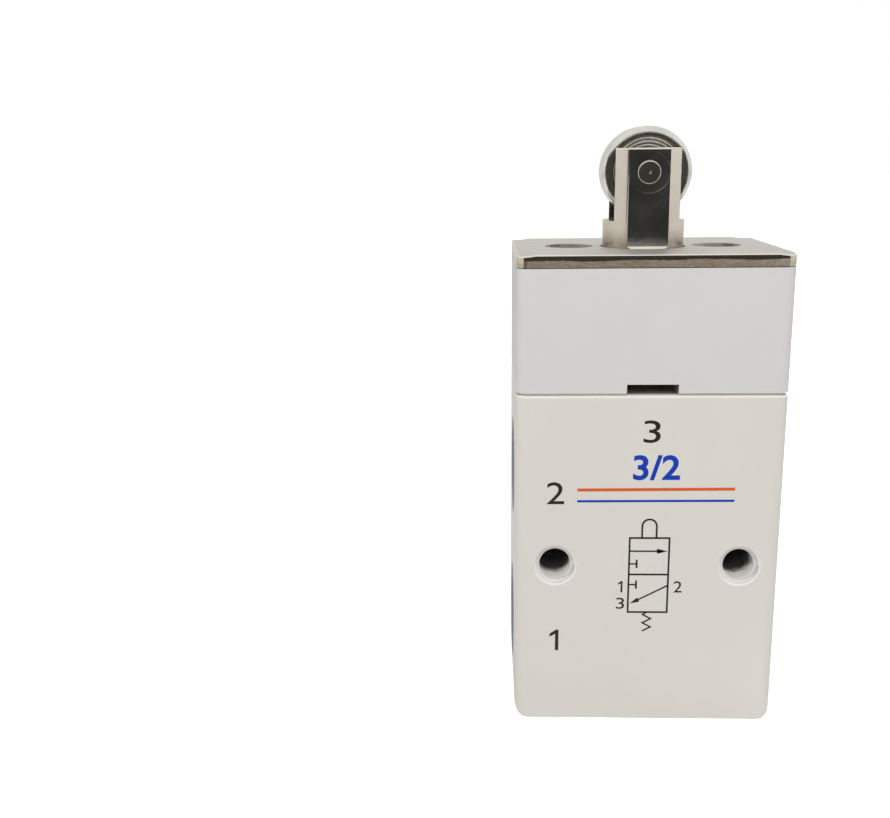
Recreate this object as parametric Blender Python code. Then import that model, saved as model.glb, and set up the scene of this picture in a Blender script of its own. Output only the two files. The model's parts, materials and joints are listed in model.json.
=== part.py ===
"""A small roller plunger valve, three ports and two positions, as its separate pieces in metres.

The valve stands on its base at the origin with +Z up. Its front, with the mounting holes and the
exhaust slot, faces -Y, and both threaded ports open to -X. Everything inside is turned round the Z axis:
from the bottom a retaining ring, the plug, the poppet in the supply chamber, the seat, the hollow stem in
the outlet chamber, the guide bush, and then the plunger under the cover plate with the roller in its fork.
"""

import math

import bmesh
import bpy
from mathutils import Matrix, Vector

# Block, cover and plate
BODY_WIDTH = 0.0350
BODY_DEPTH = 0.0270
BODY_HEIGHT = 0.0456
EDGE_RADIUS = 0.0015
FOOT_RADIUS = 0.0020
BODY_CHAMFER = 0.0003
COVER_HEIGHT = 0.0160
COVER_FLOOR = 0.0025
COVER_BORE_RADIUS = 0.0070
COVER_FLOOR_HOLE_RADIUS = 0.0042
EXHAUST_WIDTH = 0.0066
EXHAUST_HEIGHT = 0.00125
PLATE_THICKNESS = 0.0016
PLATE_ROLL = 0.0001

# Clearances
SEAM_GAP = 0.0003
SEAT_GAP = 0.0002
SEAL_GAP = 0.0001
SLIDE_GAP = 0.00025
SCREW_GAP = 0.0002
PIN_GAP = 0.0001
ROLLER_SIDE_GAP = 0.00025
ROLLER_BOTTOM_GAP = 0.00045

# Holes in the block
MOUNT_HOLE_INSET = 0.0053
MOUNT_HOLE_HEIGHT = 0.0224
MOUNT_HOLE_RADIUS = 0.0025
MOUNT_HOLE_CHAMFER = 0.00035
PORT_RADIUS = 0.00658
PORT_DEPTH = 0.0095
PORT_CHAMFER = 0.0004
PORT_PASSAGE_RADIUS = 0.0030
PORT_P_HEIGHT = 0.01025
PORT_A_HEIGHT = 0.0325

# Cover screws
SCREW_WALL = 0.0013
SCREW_LENGTH = 0.0220
SCREW_RADIUS = 0.0015
SCREW_HEAD_RADIUS = 0.0026
HEAD_RECESS = 0.00045
SCREW_HOLE_END = 0.0007

# Bottom plug and its retaining ring
RING_HEIGHT = 0.0010
RING_THICKNESS = 0.0009
RING_RADIUS = 0.00735
RING_WIDTH = 0.0013
RING_OPENING = math.radians(50)
RING_LUG_RADIUS = 0.0013
RING_LUG_HOLE = 0.0006
PLUG_BORE_RADIUS = 0.0066
PLUG_HEIGHT = 0.0041
PLUG_FLOOR = 0.0009
PLUG_GUIDE_HEIGHT = 0.0028
PLUG_GUIDE_WALL = 0.0010

# Chambers and seat
SUPPLY_RADIUS = 0.0055
OUTLET_RADIUS = 0.0050
SEAT_HEIGHT = 0.0195
SEAT_THICKNESS = 0.0020
SEAT_RADIUS = 0.0034
LIP_WIDTH = 0.0005
LIP_HEIGHT = 0.0006

# Poppet
POPPET_RADIUS = 0.0048
POPPET_RIM = 0.0006
POPPET_FLOOR = 0.0016
POPPET_RECESS = 0.0016
POPPET_ROD_RADIUS = 0.0016
POPPET_SEAL_THICKNESS = 0.0023

# Stem and its guide bush
STEM_RADIUS = 0.0030
STEM_FOOT_RADIUS = 0.00275
STEM_BORE_RADIUS = 0.0017
STEM_COLLAR_RADIUS = 0.0046
STEM_COLLAR_HEIGHT = 0.0020
STEM_ABOVE_BODY = 0.0060
STEM_VENT_RADIUS = 0.0008
STEM_VENT_DEPTH = 0.0020
STEM_LIFT = 0.0014
BUSH_HEIGHT = 0.0057
SEAL_WIRE = 0.0011
SEAL_GROOVE_SIDE = 0.00015

# Plunger, fork and roller
TRAVEL = 0.0035
PLUNGER_RADIUS = 0.00545
PLUNGER_FLANGE = 0.0020
PLUNGER_SPIGOT_RADIUS = 0.0036
FORK_DEPTH = 0.0095
FORK_WIDTH = 0.0086
FLAT_START = 0.00025
FLAT_RUNOUT = math.radians(27)
PIN_ABOVE_PLATE = 0.00985
FORK_ABOVE_PIN = 0.0031
FORK_TOP_CHAMFER = 0.0002
SPOTFACE_RADIUS = 0.0027
SPOTFACE_DEPTH = 0.0002
PIN_RADIUS = 0.0016
PIN_CHAMFER = 0.0003
ROLLER_RADIUS = 0.0059
ROLLER_WIDTH = 0.0056
ROLLER_EDGE = 0.0009
ROLLER_RECESS_RADIUS = 0.0045
ROLLER_RECESS = 0.0002
ROLLER_HUB_RADIUS = 0.0031

# Springs
PLUNGER_SPRING_RADIUS = 0.0052
PLUNGER_SPRING_WIRE = 0.0010
PLUNGER_SPRING_TURNS = 5.5
STEM_SPRING_RADIUS = 0.0037
STEM_SPRING_WIRE = 0.0007
STEM_SPRING_TURNS = 7.0
POPPET_SPRING_RADIUS = 0.0037
POPPET_SPRING_WIRE = 0.0006
POPPET_SPRING_TURNS = 5.0
END_TURN_PITCH = 1.1

# Facets
ROUND_STEPS = 40
INNER_STEPS = 32
PORT_STEPS = 32
HOLE_STEPS = 24
CORNER_STEPS = 4
WIRE_SIDES = 6
TURN_STEPS = 12
SEAL_SIDES = 6
SMOOTH_ANGLE = math.radians(25)
CUT_OVERSHOOT = 0.0020

# Places and heights that follow from the sizes above
MOUNT_HOLE_X = BODY_WIDTH / 2 - MOUNT_HOLE_INSET
SCREW_X = COVER_BORE_RADIUS + SCREW_WALL + SCREW_RADIUS + SCREW_GAP
COVER_BOTTOM = BODY_HEIGHT + SEAM_GAP
COVER_TOP = COVER_BOTTOM + COVER_HEIGHT
PLATE_BOTTOM = COVER_TOP + SEAL_GAP
PLATE_TOP = PLATE_BOTTOM + PLATE_THICKNESS
SCREW_TOP = PLATE_TOP - HEAD_RECESS
SCREW_TIP = SCREW_TOP - SCREW_LENGTH
RING_TOP = RING_HEIGHT + RING_THICKNESS
PLUG_BOTTOM = RING_TOP + SEAT_GAP
PLUG_TOP = PLUG_BOTTOM + PLUG_HEIGHT
PLUG_SHOULDER = PLUG_TOP + SEAT_GAP
SEAT_TOP = SEAT_HEIGHT + SEAT_THICKNESS
LIP_BOTTOM = SEAT_HEIGHT - LIP_HEIGHT
BUSH_BOTTOM = BODY_HEIGHT - SEAT_GAP - BUSH_HEIGHT
POCKET_BOTTOM = BUSH_BOTTOM - SEAT_GAP
POPPET_LIFT = TRAVEL - (STEM_LIFT - SEAT_GAP)
SEAL_DISC_TOP = LIP_BOTTOM - SEAT_GAP
SEAL_DISC_BOTTOM = SEAL_DISC_TOP - POPPET_SEAL_THICKNESS
POPPET_BOTTOM = SEAL_DISC_BOTTOM - SEAL_GAP - POPPET_FLOOR
ROD_BOTTOM = PLUG_BOTTOM + PLUG_FLOOR + POPPET_LIFT + SEAT_GAP
STEM_BOTTOM = SEAL_DISC_TOP + STEM_LIFT
STEM_TOP = BODY_HEIGHT + STEM_ABOVE_BODY
COLLAR_TOP = BUSH_BOTTOM - SEAT_GAP
COLLAR_BOTTOM = COLLAR_TOP - STEM_COLLAR_HEIGHT
FLOOR_TOP = COVER_BOTTOM + COVER_FLOOR
FLANGE_TOP = PLATE_BOTTOM - SEAT_GAP
FLANGE_BOTTOM = FLANGE_TOP - PLUNGER_FLANGE
SPIGOT_BOTTOM = STEM_TOP + SEAT_GAP
PIN_HEIGHT = PLATE_TOP + PIN_ABOVE_PLATE
FORK_FLOOR = PIN_HEIGHT - ROLLER_RADIUS - ROLLER_BOTTOM_GAP
FORK_TOP = PIN_HEIGHT + FORK_ABOVE_PIN
PLUG_RADIUS = PLUG_BORE_RADIUS - SLIDE_GAP
SEAL_SECTION = SEAL_WIRE / 2
OUTER_SEAL_RADIUS = PLUG_BORE_RADIUS - SEAL_GAP - SEAL_SECTION
INNER_SEAL_RADIUS = STEM_RADIUS + SEAL_GAP + SEAL_SECTION
SEAL_GROOVE = SEAL_WIRE + 2 * SEAL_GROOVE_SIDE
OUTER_GROOVE_RADIUS = OUTER_SEAL_RADIUS - SEAL_SECTION - SEAL_GAP
INNER_GROOVE_RADIUS = INNER_SEAL_RADIUS + SEAL_SECTION + SEAL_GAP

# Colours: base colour, metallic, roughness
WARM_WHITE = ((0.66, 0.64, 0.59, 1.0), 0.0, 0.45)
COOL_WHITE = ((0.62, 0.62, 0.60, 1.0), 0.0, 0.50)
NICKEL = ((0.62, 0.58, 0.50, 1.0), 1.0, 0.22)
STEEL = ((0.55, 0.54, 0.52, 1.0), 1.0, 0.30)
BRASS = ((0.70, 0.55, 0.25, 1.0), 1.0, 0.30)
SPRING_STEEL = ((0.45, 0.46, 0.48, 1.0), 1.0, 0.30)
BLACK_RUBBER = ((0.02, 0.02, 0.02, 1.0), 0.0, 0.70)
DARK_STEEL = ((0.08, 0.08, 0.09, 1.0), 1.0, 0.40)


def clear_scene():
    """Removes every object that the file opened with."""
    for thing in list(bpy.data.objects):
        bpy.data.objects.remove(thing, do_unlink=True)


def material(name, finish):
    """A Principled material of this base colour, metallic value and roughness."""
    colour, metallic, roughness = finish
    made = bpy.data.materials.new(name)
    made.use_nodes = True
    shader = made.node_tree.nodes["Principled BSDF"]
    shader.inputs["Base Color"].default_value = colour
    shader.inputs["Metallic"].default_value = metallic
    shader.inputs["Roughness"].default_value = roughness
    return made


def finished(name, bm, finish, parent=None):
    """Turns the bmesh into an object that is shaded smooth between its sharp edges."""
    bmesh.ops.recalc_face_normals(bm, faces=bm.faces)
    if bm.calc_volume(signed=True) < 0.0:
        bmesh.ops.reverse_faces(bm, faces=bm.faces)
    mesh = bpy.data.meshes.new(name)
    bm.to_mesh(mesh)
    bm.free()
    mesh.shade_smooth()
    mesh.set_sharp_from_angle(angle=SMOOTH_ANGLE)
    thing = bpy.data.objects.new(name, mesh)
    bpy.context.scene.collection.objects.link(thing)
    if finish:
        mesh.materials.append(material(name, finish))
    if parent:
        thing.parent = parent
        thing.matrix_parent_inverse = Matrix.Translation(-parent.location)
    return thing


def joint_axis(name, height, display):
    """An empty on the Z axis that carries the pieces of one moving body."""
    empty = bpy.data.objects.new(name, None)
    empty.empty_display_type = display
    empty.empty_display_size = BODY_DEPTH / 2
    empty.location = (0.0, 0.0, height)
    bpy.context.scene.collection.objects.link(empty)
    return empty


def set_origin(thing, height):
    """Puts the origin of a piece on its joint's axis at this height, with its shape left in place."""
    point = Vector((0.0, 0.0, height))
    thing.data.transform(Matrix.Translation(-point))
    thing.location = point


def spun(profile, steps):
    """A bmesh of the (radius, height) profile turned round Z. It is closed by the axis or by itself."""
    bm = bmesh.new()
    points = [bm.verts.new((radius, 0.0, height)) for radius, height in profile]
    edges = [bm.edges.new(pair) for pair in zip(points, points[1:])]
    if profile[0][0] > 0.0:
        edges.append(bm.edges.new((points[-1], points[0])))
    bmesh.ops.spin(
        bm,
        geom=points + edges,
        axis=(0, 0, 1),
        cent=(0, 0, 0),
        steps=steps,
        angle=math.tau,
        use_merge=True,
    )
    bmesh.ops.remove_doubles(bm, verts=bm.verts, dist=1e-7)
    return bm


def turned(name, profile, finish, parent=None, steps=ROUND_STEPS):
    """A piece turned round Z."""
    return finished(name, spun(profile, steps), finish, parent)


def lofted(name, rings, finish, parent=None):
    """A solid through rings of as many points each, with a flat face at both ends."""
    bm = bmesh.new()
    loops = [[bm.verts.new(point) for point in ring] for ring in rings]
    for low, high in zip(loops, loops[1:]):
        for index in range(len(low)):
            after = (index + 1) % len(low)
            bm.faces.new((low[index], low[after], high[after], high[index]))
    bm.faces.new(loops[0])
    bm.faces.new(loops[-1])
    return finished(name, bm, finish, parent)


def rounded_rectangle(width, depth, radius, height):
    """The points of a rectangle with round corners, centred on Z at this height."""
    corners = (
        (width / 2 - radius, depth / 2 - radius, 0),
        (radius - width / 2, depth / 2 - radius, 1),
        (radius - width / 2, radius - depth / 2, 2),
        (width / 2 - radius, radius - depth / 2, 3),
    )
    ring = []
    for x, y, quarter in corners:
        for step in range(CORNER_STEPS + 1):
            angle = (quarter + step / CORNER_STEPS) * math.pi / 2
            ring.append((x + radius * math.cos(angle), y + radius * math.sin(angle), height))
    return ring


def block_ring(height, inset=0.0):
    """The outline that block, cover and plate share."""
    return rounded_rectangle(
        BODY_WIDTH - 2 * inset, BODY_DEPTH - 2 * inset, EDGE_RADIUS - inset, height
    )


def box_cutter(name, low, high):
    """A plain box between two corners, for a Boolean."""
    bm = bmesh.new()
    size = Vector(high) - Vector(low)
    middle = (Vector(high) + Vector(low)) / 2
    place = Matrix.Translation(middle) @ Matrix.Diagonal((*size, 1.0))
    bmesh.ops.create_cube(bm, size=1.0, matrix=place)
    return as_tool(finished(name, bm, None))


def turned_cutter(name, profile, steps=ROUND_STEPS, place=None):
    """A turned tool, moved by a matrix, for a Boolean."""
    bm = spun(profile, steps)
    if place:
        bmesh.ops.transform(bm, matrix=place, verts=bm.verts)
    return as_tool(finished(name, bm, None))


def as_tool(thing):
    """Marks an object as one that only cuts or joins others."""
    thing.hide_render = True
    thing.display_type = "WIRE"
    return thing


def combine(thing, tools, operation="DIFFERENCE"):
    """Applies the tools to the piece, one after the other, with exact Booleans."""
    for tool in tools:
        boolean = thing.modifiers.new(tool.name, "BOOLEAN")
        boolean.operation = operation
        boolean.solver = "EXACT"
        boolean.object = tool


def along_x(x, height):
    """Turns a tool's Z axis to -X, with its start at this x and height."""
    return Matrix.Translation((x, 0.0, height)) @ Matrix.Rotation(-math.pi / 2, 4, "Y")


def along_y(x, y, height):
    """Turns a tool's Z axis to +Y, with its start at this point."""
    return Matrix.Translation((x, y, height)) @ Matrix.Rotation(-math.pi / 2, 4, "X")


def body_bore():
    """The stepped bore of the block, from the retaining ring's groove up to the bush's pocket."""
    groove_low = RING_HEIGHT - SEAL_GAP
    groove_high = RING_TOP + SEAL_GAP
    groove_radius = RING_RADIUS + SEAL_GAP
    mouth_radius = PLUG_BORE_RADIUS + SLIDE_GAP
    lip_radius = SEAT_RADIUS + LIP_WIDTH
    return [
        (0.0, -CUT_OVERSHOOT),
        (mouth_radius, -CUT_OVERSHOOT),
        (mouth_radius, groove_low),
        (groove_radius, groove_low),
        (groove_radius, groove_high),
        (PLUG_BORE_RADIUS, groove_high),
        (PLUG_BORE_RADIUS, PLUG_SHOULDER),
        (SUPPLY_RADIUS, PLUG_SHOULDER),
        (SUPPLY_RADIUS, SEAT_HEIGHT),
        (lip_radius, SEAT_HEIGHT),
        (lip_radius, LIP_BOTTOM),
        (SEAT_RADIUS, LIP_BOTTOM),
        (SEAT_RADIUS, SEAT_TOP),
        (OUTLET_RADIUS, SEAT_TOP),
        (OUTLET_RADIUS, POCKET_BOTTOM),
        (PLUG_BORE_RADIUS, POCKET_BOTTOM),
        (PLUG_BORE_RADIUS, BODY_HEIGHT + CUT_OVERSHOOT),
        (0.0, BODY_HEIGHT + CUT_OVERSHOOT),
    ]


def port_cutter(name, height):
    """A threaded port's bore from the left face, and its passage into the chamber."""
    chamber = BODY_WIDTH / 2 - SEAT_RADIUS
    drill_point = (PORT_RADIUS - PORT_PASSAGE_RADIUS) / math.tan(math.radians(59))
    chamfer_start = PORT_DEPTH + PORT_CHAMFER
    profile = [
        (0.0, -chamber),
        (PORT_PASSAGE_RADIUS, -chamber),
        (PORT_PASSAGE_RADIUS, -PORT_DEPTH - drill_point / 3),
        (PORT_RADIUS, -PORT_DEPTH),
        (PORT_RADIUS, -PORT_CHAMFER),
        (PORT_RADIUS + 2 * PORT_CHAMFER, PORT_CHAMFER),
        (PORT_RADIUS + 2 * PORT_CHAMFER, chamfer_start),
        (0.0, chamfer_start),
    ]
    return turned_cutter(name, profile, PORT_STEPS, along_x(-BODY_WIDTH / 2, height))


def mount_hole_cutter(name, x):
    """A mounting hole right through the block from front to back, countersunk at both ends."""
    wide = MOUNT_HOLE_RADIUS + 2 * MOUNT_HOLE_CHAMFER
    profile = [
        (0.0, -CUT_OVERSHOOT),
        (wide, -CUT_OVERSHOOT),
        (wide, -MOUNT_HOLE_CHAMFER),
        (MOUNT_HOLE_RADIUS, MOUNT_HOLE_CHAMFER),
        (MOUNT_HOLE_RADIUS, BODY_DEPTH - MOUNT_HOLE_CHAMFER),
        (wide, BODY_DEPTH + MOUNT_HOLE_CHAMFER),
        (wide, BODY_DEPTH + CUT_OVERSHOOT),
        (0.0, BODY_DEPTH + CUT_OVERSHOOT),
    ]
    place = along_y(x, -BODY_DEPTH / 2, MOUNT_HOLE_HEIGHT)
    return turned_cutter(name, profile, HOLE_STEPS, place)


def screw_hole_cutter(name, x, low, high, radius):
    """A straight upright hole for a cover screw."""
    profile = [(0.0, low), (radius, low), (radius, high), (0.0, high)]
    return turned_cutter(name, profile, HOLE_STEPS, Matrix.Translation((x, 0.0, 0.0)))


def foot_outline():
    """The block's front view, with its lower left and right edges rounded, as a long prism along Y."""
    top = BODY_HEIGHT + CUT_OVERSHOOT
    side = BODY_WIDTH / 2 + CUT_OVERSHOOT
    half = BODY_WIDTH / 2
    points = [(side, top), (-side, top), (-side, FOOT_RADIUS)]
    for quarter, centre in ((2, FOOT_RADIUS - half), (3, half - FOOT_RADIUS)):
        for step in range(CORNER_STEPS + 1):
            angle = (quarter + step / CORNER_STEPS) * math.pi / 2
            x = centre + FOOT_RADIUS * math.cos(angle)
            points.append((x, FOOT_RADIUS + FOOT_RADIUS * math.sin(angle)))
    points.append((side, FOOT_RADIUS))
    reach = BODY_DEPTH / 2 + CUT_OVERSHOOT
    rings = [[(x, y, z) for x, z in points] for y in (-reach, reach)]
    return as_tool(lofted("foot_outline", rings, None))


def make_body():
    """The block with its bores, ports, mounting holes and screw holes."""
    rings = [
        block_ring(0.0),
        block_ring(BODY_HEIGHT - BODY_CHAMFER),
        block_ring(BODY_HEIGHT, BODY_CHAMFER),
    ]
    body = lofted("valve_body", rings, WARM_WHITE)
    combine(body, [foot_outline()], "INTERSECT")
    thread_end = SCREW_TIP - SCREW_HOLE_END
    above = BODY_HEIGHT + CUT_OVERSHOOT
    tools = [
        turned_cutter("body_bore", body_bore(), INNER_STEPS),
        port_cutter("port_p_bore", PORT_P_HEIGHT),
        port_cutter("port_a_bore", PORT_A_HEIGHT),
    ]
    for side, sign in (("left", -1), ("right", 1)):
        tools.append(mount_hole_cutter("mount_hole_" + side, sign * MOUNT_HOLE_X))
        x = sign * SCREW_X
        radius = SCREW_RADIUS + PIN_GAP
        tools.append(screw_hole_cutter("thread_hole_" + side, x, thread_end, above, radius))
    combine(body, tools)
    return body


def make_cover():
    """The upper block: spring chamber, floor with the stem's hole, and the exhaust slot at the front."""
    cover = lofted("cover", [block_ring(COVER_BOTTOM), block_ring(COVER_TOP)], COOL_WHITE)
    low = COVER_BOTTOM - CUT_OVERSHOOT
    high = COVER_TOP + CUT_OVERSHOOT
    chamber = [
        (0.0, low),
        (COVER_FLOOR_HOLE_RADIUS, low),
        (COVER_FLOOR_HOLE_RADIUS, FLOOR_TOP),
        (COVER_BORE_RADIUS, FLOOR_TOP),
        (COVER_BORE_RADIUS, high),
        (0.0, high),
    ]
    slot_low = (-EXHAUST_WIDTH / 2, -BODY_DEPTH / 2 - CUT_OVERSHOOT, low)
    slot_high = (EXHAUST_WIDTH / 2, 0.0, COVER_BOTTOM + EXHAUST_HEIGHT)
    radius = SCREW_RADIUS + SCREW_GAP
    tools = [
        turned_cutter("cover_chamber", chamber),
        box_cutter("exhaust_slot", slot_low, slot_high),
        screw_hole_cutter("cover_hole_left", -SCREW_X, low, high, radius),
        screw_hole_cutter("cover_hole_right", SCREW_X, low, high, radius),
    ]
    combine(cover, tools)
    return cover


def head_cone(gap, rise=0.0):
    """Both ends of a countersunk head's 90 degree cone, widened by a gap and carried on upward by a rise."""
    low = SCREW_TOP - (SCREW_HEAD_RADIUS - SCREW_RADIUS)
    return [
        (SCREW_RADIUS + gap, low),
        (SCREW_HEAD_RADIUS + gap + rise, SCREW_TOP + rise),
    ]


def make_plate():
    """The sheet steel plate with the plunger's hole and two countersunk screw holes."""
    rings = [
        block_ring(PLATE_BOTTOM),
        block_ring(PLATE_TOP - PLATE_ROLL),
        block_ring(PLATE_TOP, PLATE_ROLL),
    ]
    plate = lofted("cover_plate", rings, NICKEL)
    low = PLATE_BOTTOM - CUT_OVERSHOOT
    high = PLATE_TOP + CUT_OVERSHOOT
    hole = PLUNGER_RADIUS + SLIDE_GAP
    tools = [turned_cutter("plunger_hole", [(0.0, low), (hole, low), (hole, high), (0.0, high)])]
    sink = head_cone(SCREW_GAP, HEAD_RECESS + CUT_OVERSHOOT)
    profile = [(0.0, low), (sink[0][0], low), *sink, (0.0, high)]
    for side, sign in (("left", -1), ("right", 1)):
        place = Matrix.Translation((sign * SCREW_X, 0.0, 0.0))
        tools.append(turned_cutter("plate_hole_" + side, profile, HOLE_STEPS, place))
    combine(plate, tools)
    return plate


def make_screw(side, x):
    """A countersunk cover screw, its thread as a plain shank."""
    chamfer = SCREW_RADIUS / 3
    profile = [
        (0.0, SCREW_TIP),
        (SCREW_RADIUS - chamfer, SCREW_TIP),
        (SCREW_RADIUS, SCREW_TIP + chamfer),
        *head_cone(0.0),
        (0.0, SCREW_TOP),
    ]
    screw = turned("cover_screw_" + side, profile, NICKEL, steps=HOLE_STEPS)
    screw.location.x = x
    return screw


def make_plug():
    """The bottom plug: seal groove, and a guide boss for the poppet's rod."""
    groove_low = (PLUG_BOTTOM + PLUG_TOP - SEAL_GROOVE) / 2
    groove_high = groove_low + SEAL_GROOVE
    bore = POPPET_ROD_RADIUS + SLIDE_GAP
    guide = bore + PLUG_GUIDE_WALL
    guide_top = PLUG_TOP + PLUG_GUIDE_HEIGHT
    chamfer = SEAT_GAP
    profile = [
        (0.0, PLUG_BOTTOM),
        (PLUG_RADIUS - chamfer, PLUG_BOTTOM),
        (PLUG_RADIUS, PLUG_BOTTOM + chamfer),
        (PLUG_RADIUS, groove_low),
        (OUTER_GROOVE_RADIUS, groove_low),
        (OUTER_GROOVE_RADIUS, groove_high),
        (PLUG_RADIUS, groove_high),
        (PLUG_RADIUS, PLUG_TOP - chamfer),
        (PLUG_RADIUS - chamfer, PLUG_TOP),
        (guide, PLUG_TOP),
        (guide, guide_top),
        (bore, guide_top),
        (bore, PLUG_BOTTOM + PLUG_FLOOR),
        (0.0, PLUG_BOTTOM + PLUG_FLOOR),
    ]
    return turned("bottom_plug", profile, BRASS, steps=INNER_STEPS)


def seal_ring(name, radius, height, parent=None):
    """A rubber ring of round section."""
    profile = []
    for side in range(SEAL_SIDES):
        angle = math.tau * side / SEAL_SIDES
        across = SEAL_SECTION * math.cos(angle)
        up = SEAL_SECTION * math.sin(angle)
        profile.append((radius + across, height + up))
    return turned(name, profile, BLACK_RUBBER, parent, INNER_STEPS)


def arc(radius, start, end, steps):
    """Points in the XY plane along an arc round Z."""
    angles = [start + (end - start) * step / steps for step in range(steps + 1)]
    return [(radius * math.cos(angle), radius * math.sin(angle)) for angle in angles]


def make_retaining_ring():
    """The spring ring that holds the plug: open at the rear, with an eyed lug at each end."""
    start = math.pi / 2 + RING_OPENING / 2
    end = math.pi / 2 - RING_OPENING / 2 + math.tau
    lug_circle = RING_RADIUS - RING_LUG_RADIUS
    lug_angle = 2 * RING_LUG_RADIUS / lug_circle
    lug_inner = RING_RADIUS - 2 * RING_LUG_RADIUS
    outline = arc(RING_RADIUS, start, end, INNER_STEPS)
    outline += arc(lug_inner, end, end - lug_angle, CORNER_STEPS)
    outline += arc(RING_RADIUS - RING_WIDTH, end - lug_angle, start + lug_angle, INNER_STEPS)
    outline += arc(lug_inner, start + lug_angle, start, CORNER_STEPS)
    rings = [[(x, y, z) for x, y in outline] for z in (RING_HEIGHT, RING_TOP)]
    ring = lofted("retaining_ring", rings, DARK_STEEL)
    low = RING_HEIGHT - CUT_OVERSHOOT
    high = RING_TOP + CUT_OVERSHOOT
    eye = [(0.0, low), (RING_LUG_HOLE, low), (RING_LUG_HOLE, high), (0.0, high)]
    eyes = []
    for side, angle in (("left", start + lug_angle / 2), ("right", end - lug_angle / 2)):
        place = Matrix.Translation(
            (lug_circle * math.cos(angle), lug_circle * math.sin(angle), 0.0)
        )
        eyes.append(turned_cutter("ring_eye_" + side, eye, HOLE_STEPS // 2, place))
    combine(ring, eyes)
    return ring


def make_poppet(parent):
    """The poppet: a cup for its rubber disc on a guide rod."""
    recess = POPPET_RADIUS - POPPET_RIM
    floor_top = POPPET_BOTTOM + POPPET_FLOOR
    chamfer = SEAT_GAP
    profile = [
        (0.0, ROD_BOTTOM),
        (POPPET_ROD_RADIUS - chamfer, ROD_BOTTOM),
        (POPPET_ROD_RADIUS, ROD_BOTTOM + chamfer),
        (POPPET_ROD_RADIUS, POPPET_BOTTOM),
        (POPPET_RADIUS, POPPET_BOTTOM),
        (POPPET_RADIUS, floor_top + POPPET_RECESS),
        (recess, floor_top + POPPET_RECESS),
        (recess, floor_top),
        (0.0, floor_top),
    ]
    poppet = turned("poppet", profile, BRASS, parent, INNER_STEPS)
    radius = recess - SEAL_GAP
    disc = [
        (0.0, SEAL_DISC_BOTTOM),
        (radius, SEAL_DISC_BOTTOM),
        (radius, SEAL_DISC_TOP),
        (0.0, SEAL_DISC_TOP),
    ]
    turned("poppet_seal", disc, BLACK_RUBBER, parent, INNER_STEPS)
    return poppet


def make_stem(parent):
    """The hollow stem. Its open foot exhausts the outlet through the bore and the cross vent."""
    vent = STEM_TOP - STEM_VENT_DEPTH
    bore_top = vent + STEM_VENT_RADIUS + SEAT_GAP
    chamfer = SEAT_GAP
    profile = [
        (STEM_BORE_RADIUS, STEM_BOTTOM),
        (STEM_FOOT_RADIUS, STEM_BOTTOM),
        (STEM_FOOT_RADIUS, COLLAR_BOTTOM),
        (STEM_COLLAR_RADIUS, COLLAR_BOTTOM),
        (STEM_COLLAR_RADIUS, COLLAR_TOP),
        (STEM_RADIUS, COLLAR_TOP),
        (STEM_RADIUS, STEM_TOP - chamfer),
        (STEM_RADIUS - chamfer, STEM_TOP),
        (0.0, STEM_TOP),
    ]
    profile.reverse()
    profile += [(STEM_BORE_RADIUS, bore_top), (0.0, bore_top)]
    stem = turned("stem", profile, STEEL, parent, INNER_STEPS)
    reach = STEM_RADIUS + CUT_OVERSHOOT
    hole = [(0.0, -reach), (STEM_VENT_RADIUS, -reach), (STEM_VENT_RADIUS, reach), (0.0, reach)]
    combine(stem, [turned_cutter("stem_vent", hole, HOLE_STEPS // 2, along_x(0.0, vent))])
    return stem


def make_bush():
    """The stem's guide bush with a seal groove outside and one inside."""
    top = BUSH_BOTTOM + BUSH_HEIGHT
    bore = STEM_RADIUS + SEAL_GAP
    outer_groove = BUSH_BOTTOM + BUSH_HEIGHT / 4
    inner_groove = BUSH_BOTTOM + BUSH_HEIGHT * 3 / 4
    half = SEAL_GROOVE / 2
    profile = [
        (bore, BUSH_BOTTOM),
        (PLUG_RADIUS, BUSH_BOTTOM),
        (PLUG_RADIUS, outer_groove - half),
        (OUTER_GROOVE_RADIUS, outer_groove - half),
        (OUTER_GROOVE_RADIUS, outer_groove + half),
        (PLUG_RADIUS, outer_groove + half),
        (PLUG_RADIUS, top),
        (bore, top),
        (bore, inner_groove + half),
        (INNER_GROOVE_RADIUS, inner_groove + half),
        (INNER_GROOVE_RADIUS, inner_groove - half),
        (bore, inner_groove - half),
    ]
    bush = turned("stem_guide_bush", profile, BRASS, steps=INNER_STEPS)
    seal_ring("bush_seal", OUTER_SEAL_RADIUS, outer_groove)
    seal_ring("stem_seal", INNER_SEAL_RADIUS, inner_groove)
    return bush


def coil_spring(name, radius, wire, turns, low, high):
    """A compression spring from low to high, with a closed turn at each end."""
    bottom = low + wire / 2
    closed = wire * END_TURN_PITCH
    open_turns = turns - 2
    pitch = (high - low - wire - 2 * closed) / open_turns
    rings = []
    for step in range(round(turns * TURN_STEPS) + 1):
        turn = step / TURN_STEPS
        rise = closed * min(turn, 1.0)
        rise += pitch * min(max(turn - 1.0, 0.0), open_turns)
        rise += closed * max(turn - turns + 1.0, 0.0)
        angle = math.tau * turn
        ring = []
        for side in range(WIRE_SIDES):
            around = math.tau * side / WIRE_SIDES
            out = radius + wire / 2 * math.cos(around)
            up = bottom + rise + wire / 2 * math.sin(around)
            ring.append((out * math.cos(angle), out * math.sin(angle), up))
        rings.append(ring)
    return lofted(name, rings, SPRING_STEEL)


def face_flat_cutter(name, sign):
    """The tool of one face flat, front or rear. The flat runs out downward in a slope."""
    near = FORK_DEPTH / 2
    far = PLUNGER_RADIUS + CUT_OVERSHOOT
    low = PLATE_TOP + FLAT_START
    top = FORK_TOP + CUT_OVERSHOOT
    outline = [(near, top), (near, low), (far, low - (far - near) * math.tan(FLAT_RUNOUT)), (far, top)]
    rings = [[(x, sign * y, z) for y, z in outline] for x in (-far, far)]
    return as_tool(lofted(name, rings, None))


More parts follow.
